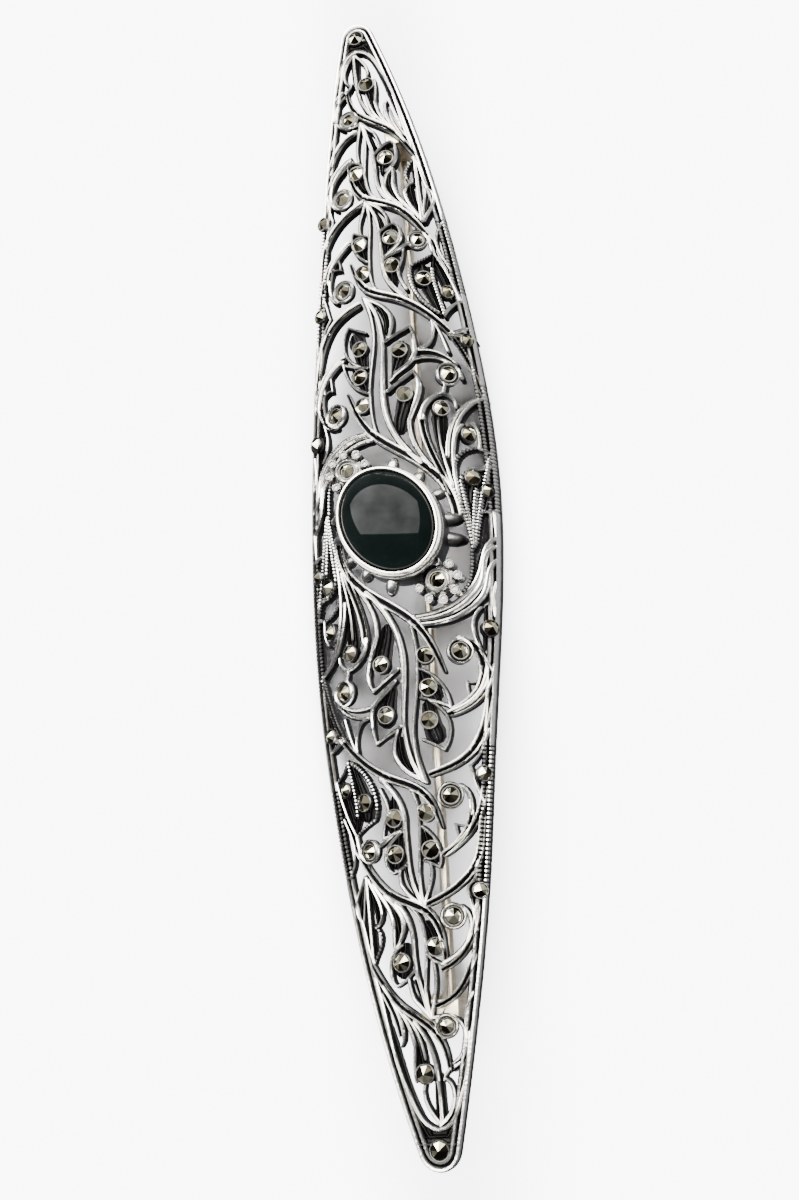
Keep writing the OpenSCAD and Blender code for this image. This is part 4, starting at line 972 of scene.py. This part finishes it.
@dataclass(frozen=True)
class PinFittings:
    """Hinge lugs and catch under the plate, in line with the pin stem."""

    start: Pair = (0.74, -40.3)
    end: Pair = (2.78, 39.6)
    pin_z: float = 1.15
    pin_d: float = 0.85
    rivet_d: float = 0.8
    rivet_fit: float = 0.02
    eye_w: float = 1.3
    lug_gap: float = 0.08
    lug_w: float = 0.8
    top_z: float = 4.95
    pad_l: float = 1.7
    pad_h: float = 0.5
    pad_edge: float = 0.12
    neck: float = 1.5
    catch_z: float = 4.6
    catch_w: float = 1.9
    catch_l: float = 2.6
    catch_gap: float = 0.09
    catch_edge: float = 0.2
    hook_h: float = 0.4
    overlap: float = 0.1
    past: float = 1.0
    sides: int = 32

    @property
    def run(self) -> Pair:
        """How far the stem runs across and along the brooch, from the hinge to the catch."""
        return self.end[0] - self.start[0], self.end[1] - self.start[1]

    def frame(self) -> Matrix:
        """Frame of the stem in metres: its origin at the hinge, and Y along the stem."""
        dx, dy = self.run
        turn = Matrix.Rotation(math.atan2(dy, dx) - math.pi / 2, 4, "Z")
        return Matrix.Translation((self.start[0] * MM, self.start[1] * MM, 0)) @ turn

    def lying(self, name: str, radius: float, low: float, high: float, about: str = "Y") -> Piece:
        """A cylinder at the stem's height, laid down by a quarter turn about one axis."""
        item = add_cylinder(name, radius, low, high, self.sides)
        item.data.transform(Matrix.Rotation(math.pi / 2, 4, about))
        item.data.transform(Matrix.Translation((0, 0, self.pin_z * MM)))
        return item

    def lugs(self) -> list[Piece]:
        """Makes the soldered pad and the two bored lugs."""
        half = self.eye_w / 2 + self.lug_gap + self.lug_w
        solids = [add_block("hinge_pad", (-half, -self.pad_l / 2, self.top_z - self.pad_h),
                            (half, self.pad_l / 2, self.top_z), self.pad_edge)]
        for low in (-half, half - self.lug_w):
            high = low + self.lug_w
            cheek = add_block("lug", (low, -self.neck / 2, self.pin_z),
                              (high, self.neck / 2, self.top_z - self.overlap))
            cheek = fuse("lug", [cheek, self.lying("lug_end", self.pin_z, low, high)])
            bore = self.lying("bore", self.rivet_d / 2 + self.rivet_fit, low - self.past, high + self.past)
            solids.append(cut(cheek, [bore]))
        return solids

    def catch(self) -> Piece:
        """Makes the hook that the stem lies in, open away from the plate."""
        slot = self.pin_d / 2 + self.catch_gap
        hook = add_block("catch", (-self.catch_w / 2, -self.catch_l / 2, 0.0),
                         (self.catch_w / 2, self.catch_l / 2, self.catch_z), self.catch_edge)
        bore = self.lying("catch_bore", slot, -self.catch_l, self.catch_l, "X")
        mouth = add_block("catch_mouth", (-slot, -self.catch_l, -self.past), (slot, self.catch_l, self.pin_z))
        side = add_block("catch_side", (slot - self.overlap / 2, -self.catch_l, -self.past),
                         (self.catch_w, self.catch_l, self.pin_z - self.hook_h))
        hook = cut(hook, [bore, mouth, side])
        hook.data.transform(Matrix.Translation((0, math.hypot(*self.run) * MM, 0)))
        return hook

    def build(self, silver: Finish) -> list[Piece]:
        """Makes the hinge and the catch in their places."""
        solids = self.lugs() + [self.catch()]
        for item in solids:
            item.data.transform(self.frame())
            paint(item, silver)
        return solids


class Nodes:
    """Small helper that lays out a material's nodes."""

    def __init__(self, name: str) -> None:
        """Starts an empty material with a Principled shader."""
        self.material = bpy.data.materials.new(name)
        self.material.use_nodes = True
        self.tree = self.material.node_tree
        self.shader = self.tree.nodes["Principled BSDF"]
        self.coords = self.tree.nodes.new("ShaderNodeTexCoord").outputs["Object"]

    def add(self, kind: str, inputs: dict[str | int, object], **settings: object) -> bpy.types.Node:
        """Adds a node.

        Args:
            kind: The node's type.
            inputs: Values or links for its inputs.
            settings: Properties of the node.

        Returns:
            The new node.
        """
        node = self.tree.nodes.new(kind)
        for key, value in settings.items():
            setattr(node, key, value)
        for key, value in inputs.items():
            if isinstance(value, Socket):
                self.tree.links.new(value, node.inputs[key])
            else:
                node.inputs[key].default_value = value
        return node

    def math(self, operation: str, a: object, b: object = 0.0) -> Socket:
        """Adds a Math node and gives its result."""
        return self.add("ShaderNodeMath", {0: a, 1: b}, operation=operation).outputs[0]

    def noise(self, per_mm: float, detail: float = 3.0) -> Socket:
        """Adds a noise of some features to the millimetre and gives its strength."""
        return self.add("ShaderNodeTexNoise", {"Vector": self.coords, "Scale": per_mm / MM, "Detail": detail},
                        ).outputs["Fac"]

    def rough(self, per_mm: float, spread: float, least: object) -> None:
        """Gives the shader a least roughness with some noise on top of it."""
        self.link(self.math("ADD", self.math("MULTIPLY", self.noise(per_mm), spread), least), "Roughness")

    def colour(self, value: Socket, places: tuple[float, ...], colours: tuple[Triple, ...]) -> None:
        """Colours the shader by a value, through a ramp with the given colours at the given places."""
        node = self.add("ShaderNodeValToRGB", {"Fac": value})
        elements = node.color_ramp.elements
        while len(elements) < len(places):
            elements.new(0.5)
        for element, place, colour in zip(elements, places, colours):
            element.position = place
            element.color = (*colour, 1)
        self.link(node.outputs["Color"], "Base Color")

    def bump(self, height: Socket, strength: float, distance: float) -> None:
        """Gives the shader's normal a bump, with its distance in millimetres."""
        node = self.add("ShaderNodeBump", {"Height": height, "Strength": strength, "Distance": distance * MM})
        self.tree.links.new(node.outputs["Normal"], self.shader.inputs["Normal"])

    def link(self, value: Socket, name: str) -> None:
        """Links a value to an input of the shader."""
        self.tree.links.new(value, self.shader.inputs[name])

    def set(self, **values: object) -> None:
        """Sets inputs of the shader that are the same all over, by name with _ for a space."""
        for name, value in values.items():
            self.shader.inputs[name.replace("_", " ")].default_value = value


@dataclass(frozen=True)
class CastSilver:
    """Oxidised cast silver: black in its hollows, and rubbed bright on its ridges. Its darkened copies, by height or
    all over, are painted shade instead.
    """

    name: str = "cast_silver"
    black: Triple = (0.012, 0.0115, 0.0115)
    dark: Triple = (0.15, 0.147, 0.142)
    grey: Triple = (0.44, 0.43, 0.415)
    bright: Triple = (0.93, 0.915, 0.88)
    stops: tuple[float, ...] = (0.0, 0.3, 0.6, 1.0)
    dark_level: float = 0.66
    bright_level: float = 0.93
    wear: float = 0.16
    rough: Pair = (0.5, 0.15)
    by_height: bool = False

    def height(self, nodes: Nodes) -> Socket:
        """Level of a point above the dome's underside, or its plain height, in millimetres."""
        if self.by_height:
            split = nodes.add("ShaderNodeSeparateXYZ", {0: nodes.coords})
            return nodes.math("DIVIDE", split.outputs["Z"], MM)
        flat = nodes.add("ShaderNodeVectorMath", {0: nodes.coords, 1: (1, 0, 1)}, operation="MULTIPLY")
        out = nodes.add("ShaderNodeVectorMath", {0: flat.outputs[0], 1: (0, 0, -DOME.axis_z * MM)}, operation="ADD")
        r = nodes.add("ShaderNodeVectorMath", {0: out.outputs[0]}, operation="LENGTH").outputs["Value"]
        return nodes.math("SUBTRACT", nodes.math("DIVIDE", r, MM), DOME.radius)

    def make(self) -> Finish:
        """Makes the material."""
        nodes = Nodes(self.name)
        wear = nodes.math("MULTIPLY", nodes.math("SUBTRACT", nodes.noise(1.3, 4.0), 0.5), self.wear)
        level = nodes.math("ADD", self.height(nodes), wear)
        span = self.bright_level - self.dark_level
        share = nodes.math("DIVIDE", nodes.math("SUBTRACT", level, self.dark_level), span)
        nodes.colour(share, self.stops, (self.black, self.dark, self.grey, self.bright))
        rough = nodes.add("ShaderNodeMapRange", {"Value": share, "To Min": self.rough[0], "To Max": self.rough[1]})
        nodes.rough(4.0, 0.1, rough.outputs[0])
        nodes.set(Metallic=1.0)
        nodes.bump(nodes.noise(3.2, 5.0), 0.6, 0.045)
        return nodes.material


@dataclass(frozen=True)
class MarcasiteFinish:
    """Polished grey-yellow pyrite of the small stones, with painted glints and painted dark reflections on its
    facets.
    """

    # Facet colours: dark and brown are painted dark reflections, pale is a painted glint
    dark: Triple = (0.022, 0.019, 0.013)
    brown: Triple = (0.17, 0.145, 0.08)
    pale: Triple = (0.78, 0.76, 0.56)
    stops: Triple = (0.3, 0.5, 0.72)
    facet_step: float = 0.12

    def painted_facet_glints(self, nodes: Nodes) -> Socket:
        """A value of its own for each facet, from the way that it faces, which picks the facet's painted glint or
        painted dark reflection.
        """
        facing = nodes.add("ShaderNodeNewGeometry", {}).outputs["True Normal"]
        steps = nodes.add("ShaderNodeVectorMath", {0: facing, 1: (self.facet_step,) * 3}, operation="SNAP")
        return nodes.add("ShaderNodeTexWhiteNoise", {"Vector": steps.outputs[0]}).outputs["Value"]

    def make(self) -> Finish:
        """Makes the material."""
        nodes = Nodes("marcasite")
        nodes.colour(self.painted_facet_glints(nodes), self.stops, (self.dark, self.brown, self.pale))
        nodes.rough(6.0, 0.12, 0.05)
        nodes.set(Metallic=1.0)
        return nodes.material


@dataclass(frozen=True)
class OnyxFinish:
    """Polished black stone with the faintest green."""

    black: Triple = (0.0005, 0.0009, 0.0008)
    green: Triple = (0.001, 0.0019, 0.0017)
    stops: Pair = (0.3, 0.75)
    shine: float = 0.12

    def make(self) -> Finish:
        """Makes the material."""
        nodes = Nodes("onyx")
        nodes.colour(nodes.noise(0.25), self.stops, (self.black, self.green))
        nodes.rough(1.5, 0.05, 0.03)
        nodes.link(nodes.math("MULTIPLY", nodes.noise(0.5), self.shine), "Specular IOR Level")
        nodes.set(IOR=1.53)
        nodes.bump(nodes.noise(0.35, 2.0), 0.1, 0.02)
        return nodes.material


@dataclass(frozen=True)
class PinMetal:
    """Plain drawn wire of the pin stem and its rivet, a little warmer than the silver."""

    name: str = "pin_wire"
    colour: Triple = (0.8, 0.71, 0.56)
    worn: Triple = (0.52, 0.45, 0.34)
    stops: Pair = (0.35, 0.65)

    def make(self) -> Finish:
        """Makes the material."""
        nodes = Nodes(self.name)
        nodes.colour(nodes.noise(1.0, 5.0), self.stops, (self.worn, self.colour))
        nodes.rough(5.0, 0.2, 0.22)
        nodes.set(Metallic=1.0)
        nodes.bump(nodes.noise(4.0), 0.3, 0.01)
        return nodes.material


@dataclass
class Openwork:
    """The whole cast openwork with its bezel, rosettes, cups and marcasites, and the pin's fittings."""

    silver: CastSilver = CastSilver()
    raised: CastSilver = CastSilver(
        name="raised_silver", dark_level=5.3, bright_level=5.72, rough=(0.4, 0.12), by_height=True)
    # Copy of the silver for the bezel: its plain wall is darker the lower it lies, as painted shade, under the bright
    # lip
    bezel: CastSilver = CastSilver(
        name="bezel_painted_shade", bright=(0.9, 0.86, 0.79), dark_level=6.2, bright_level=7.15, rough=(0.3, 0.1),
        by_height=True)
    # Darker copy of the silver for the pegs, darker still towards their feet: painted shade and painted dark
    # reflections
    pegs: CastSilver = CastSilver(
        name="peg_painted_shade", grey=(0.2, 0.195, 0.185), bright=(0.5, 0.49, 0.46), dark_level=4.2, bright_level=6.0,
        rough=(0.3, 0.12), by_height=True)
    # Much darker copy of the silver for the cups, the rosette's posts and its body: painted shade round the stones
    # and under the beads
    cups: CastSilver = CastSilver(
        name="cup_painted_shade", grey=(0.05, 0.048, 0.045), bright=(0.16, 0.155, 0.145), bright_level=1.0)
    fittings: PinMetal = PinMetal(name="fittings")
    rim_step: float = 0.25
    ring_level: float = 0.66
    # Wire of a free ring: distance inside its radius, width, height, sides
    ring_wire: tuple[float, float, float, int] = (0.1, 0.27, 0.85, 28)
    # Ground inside a free ring: distance inside its radius, foot, top, sides
    ring_ground: tuple[float, float, float, int] = (0.14, -0.5, -0.16, 20)
    smooth_angle: float = 38.0

    def stone_places(self, rosette: Rosette) -> list[tuple[Matrix, int]]:
        """Place of every marcasite, and 1 for a large one or 0 for a small one."""
        places = [(DOME.place(x, y, DOME.plate + on_rim * self.rim_step), large) for x, y, large, on_rim in STONES]
        places.append((rosette.stone_place(), 1))
        return places + [(HALF_TURN @ place, large) for place, large in places]

    def rings(self, silver: Finish) -> list[Piece]:
        """Free rings of wire round some marcasites of one half, each with its ground."""
        solids = []
        for x, y, r in RINGS:
            models = [paint(add("free_ring", r - inside, *rest), silver)
                      for add, (inside, *rest) in ((add_ring, self.ring_wire), (add_cylinder, self.ring_ground))]
            solids += [place_copy(model, DOME.place(x, y, self.ring_level)) for model in models]
            drop_all(models)
        return solids

    def build(self) -> Piece:
        """Builds all the solids and fuses them into one body."""
        silver, raised, cup = self.silver.make(), self.raised.make(), self.cups.make()
        stone = MarcasiteFinish().make()
        rosette = Rosette()
        half = [paint(Curve(row).build(), silver) for row in STEMS]
        half += self.rings(silver)
        half += rosette.build(raised, cup)
        pegs = self.pegs.make()
        half += [Peg(row).build(pegs) for row in PEGS]
        solids = [paint(Rim().build(), silver)]
        solids += half + [copy_of(item, HALF_TURN) for item in half]
        solids.append(Bezel().build(self.bezel.make()))
        solids += PinFittings().build(self.fittings.make())
        solids += StoneField().build(self.stone_places(rosette), cup, stone)
        LOG.info("openwork: %d solids to fuse", len(solids))
        body = fuse("silver_openwork", solids)
        activate(body)
        bpy.ops.object.shade_smooth_by_angle(angle=math.radians(self.smooth_angle))
        facets = body.data.materials.find(stone.name)
        for face in body.data.polygons:
            face.use_smooth = face.use_smooth and face.material_index != facets
        return body


@dataclass(frozen=True)
class Cabochon:
    """The domed oval black stone."""

    tall: float = 2.3
    girdle_z: float = 6.6
    foot_z: float = 6.06
    # Height of the cut through the ball, and how near to it a point counts as lying on it
    cut_z: float = 0.02
    cut_reach: float = 0.001
    segments: int = 96
    rings: int = 64
    smooth_angle: float = 40.0

    def build(self) -> Piece:
        """Makes the stone from half a ball, with its edge drawn down to the foot."""
        deselect()
        bpy.ops.mesh.primitive_uv_sphere_add(segments=self.segments, ring_count=self.rings, radius=MM)
        stone = bpy.context.active_object
        stone.name = "black_cabochon"
        with editing(stone):
            bpy.ops.mesh.bisect(plane_co=(0, 0, self.cut_z * MM), plane_no=(0, 0, 1), clear_inner=True, use_fill=True,
                                threshold=self.cut_reach * MM)
            pick_faces(stone, -1, self.cut_z + self.cut_reach)
            bpy.ops.mesh.extrude_region_move(TRANSFORM_OT_translate={
                "value": (0, 0, (self.foot_z - self.girdle_z) / self.tall * MM)})
        stone.scale = (OVAL_LONG_R, OVAL_SHORT_R, self.tall)
        stone.rotation_euler.z = math.radians(OVAL_TURN)
        stone.location.z = self.girdle_z * MM
        with editing(apply_place(stone)):
            bpy.ops.mesh.normals_make_consistent(inside=False)
        bpy.ops.object.shade_smooth_by_angle(angle=math.radians(self.smooth_angle))
        return paint(stone, OnyxFinish().make())


@dataclass(frozen=True)
class Lamp:
    """A soft lamp that looks at the brooch's short axis, with its width along that axis, in metres and watts.

    A glossy lamp lights by its reflection only, and any other lights the table only.
    """

    name: str
    at: Triple
    size: Pair
    power: float
    glossy: bool = False
    colour: Triple = (1, 1, 1)

    def hang(self) -> None:
        """Adds the lamp to the scene."""
        data = bpy.data.lights.new(self.name, "AREA")
        data.shape = "RECTANGLE"
        data.size, data.size_y = self.size
        data.energy = self.power
        data.color = self.colour
        item = bpy.data.objects.new(self.name, data)
        item.location = self.at
        item.rotation_euler = Vector((0, *self.at[1:])).to_track_quat("Z", "Y").to_euler()
        item.visible_glossy = self.glossy
        item.visible_diffuse = not self.glossy
        bpy.context.scene.collection.objects.link(item)


@dataclass(frozen=True)
class Studio:
    """Pale table, soft window light and the camera of the photograph."""

    eye: Triple = (27.838, -35.012, 103.965)
    right: Triple = (0.95439, -0.07305, -0.28947)
    up: Triple = (0.14485, 0.96113, 0.23504)
    back: Triple = (0.26106, -0.26625, 0.92788)
    focal: float = 1240.37
    frame_h: float = 1200.0
    sensor: float = 36.0
    floor_w: float = 2.5
    floor_drop: float = 0.02
    floor_colour: Triple = (0.9, 0.895, 0.9)
    room_colour: Triple = (0.95, 0.97, 1)
    # Strength of the room from the photographer's side to the far side: place and strength of each end
    room: tuple[float, float, float, float] = (-0.8, 0.6, 0.14, 0.75)
    lamps: tuple[Lamp, ...] = (
        Lamp("window", (-0.2, 0.255, 0.46), (1.4, 0.66), 42.0, True, (1, 0.99, 0.97)),
        Lamp("table_far", (0, 1.2, 0.5), (1.2, 0.4), 260.0),
        Lamp("table_near", (0, -1.2, 0.5), (1.2, 0.4), 260.0))

    def camera(self) -> None:
        """Sets the camera at the photograph's place and angle of view."""
        data = bpy.data.cameras.new("camera")
        data.sensor_fit = "VERTICAL"
        data.sensor_height = self.sensor
        data.sensor_width = self.sensor
        data.lens = self.focal / self.frame_h * self.sensor
        data.clip_start = 0.005
        item = bpy.data.objects.new("camera", data)
        turn = Matrix((self.right, self.up, self.back)).transposed().to_4x4()
        item.matrix_world = Matrix.Translation(Vector(self.eye) * MM) @ turn
        bpy.context.scene.collection.objects.link(item)
        bpy.context.scene.camera = item

    def floor(self) -> None:
        """Lays the pale table under the brooch."""
        deselect()
        bpy.ops.mesh.primitive_plane_add(size=self.floor_w, location=(0, 0, -self.floor_drop * MM))
        table = bpy.context.active_object
        table.name = "table"
        nodes = Nodes("pale_table")
        nodes.set(Base_Color=(*self.floor_colour, 1), Roughness=0.9, Specular_IOR_Level=0.1)
        table.visible_glossy = False
        paint(table, nodes.material)

    def light(self) -> None:
        """Sets the dim room, which lights by reflection only, and hangs the lamps."""
        world = bpy.data.worlds.new("room")
        world.use_nodes = True
        tree, room = world.node_tree, world.node_tree.nodes["Background"]
        room.inputs["Color"].default_value = (*self.room_colour, 1)
        split, shade = tree.nodes.new("ShaderNodeSeparateXYZ"), tree.nodes.new("ShaderNodeMapRange")
        tree.links.new(tree.nodes.new("ShaderNodeTexCoord").outputs["Generated"], split.inputs[0])
        for name, value in zip(("From Min", "From Max", "To Min", "To Max"), self.room):
            shade.inputs[name].default_value = value
        tree.links.new(split.outputs["Y"], shade.inputs["Value"])
        tree.links.new(shade.outputs[0], room.inputs["Strength"])
        world.cycles_visibility.diffuse = False
        bpy.context.scene.world = world
        for lamp in self.lamps:
            lamp.hang()

    def build(self) -> None:
        """Sets the whole scene round the brooch."""
        self.camera()
        self.floor()
        self.light()


def main() -> None:
    """Builds the brooch and the scene round it."""
    logging.basicConfig(level=logging.INFO, format="%(message)s")
    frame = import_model()
    Studio().build()

    openwork = Openwork().build()
    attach(openwork, "brooch")
    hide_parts("openwork_frame", "lower_marcasites", "upper_marcasites")
    LOG.info("openwork: %d faces", len(openwork.data.polygons))

    stone = Cabochon().build()
    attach(stone, "brooch")
    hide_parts("cabochon")
    LOG.info("cabochon: %d faces", len(stone.data.polygons))

    paint(frame["nodes"]["pin_stem"], PinMetal().make())
    paint(frame["nodes"]["hinge_rivet"], PinMetal(name="rivet_wire").make())
    LOG.info("pin stem and rivet dressed")


if __name__ == "__main__":
    main()
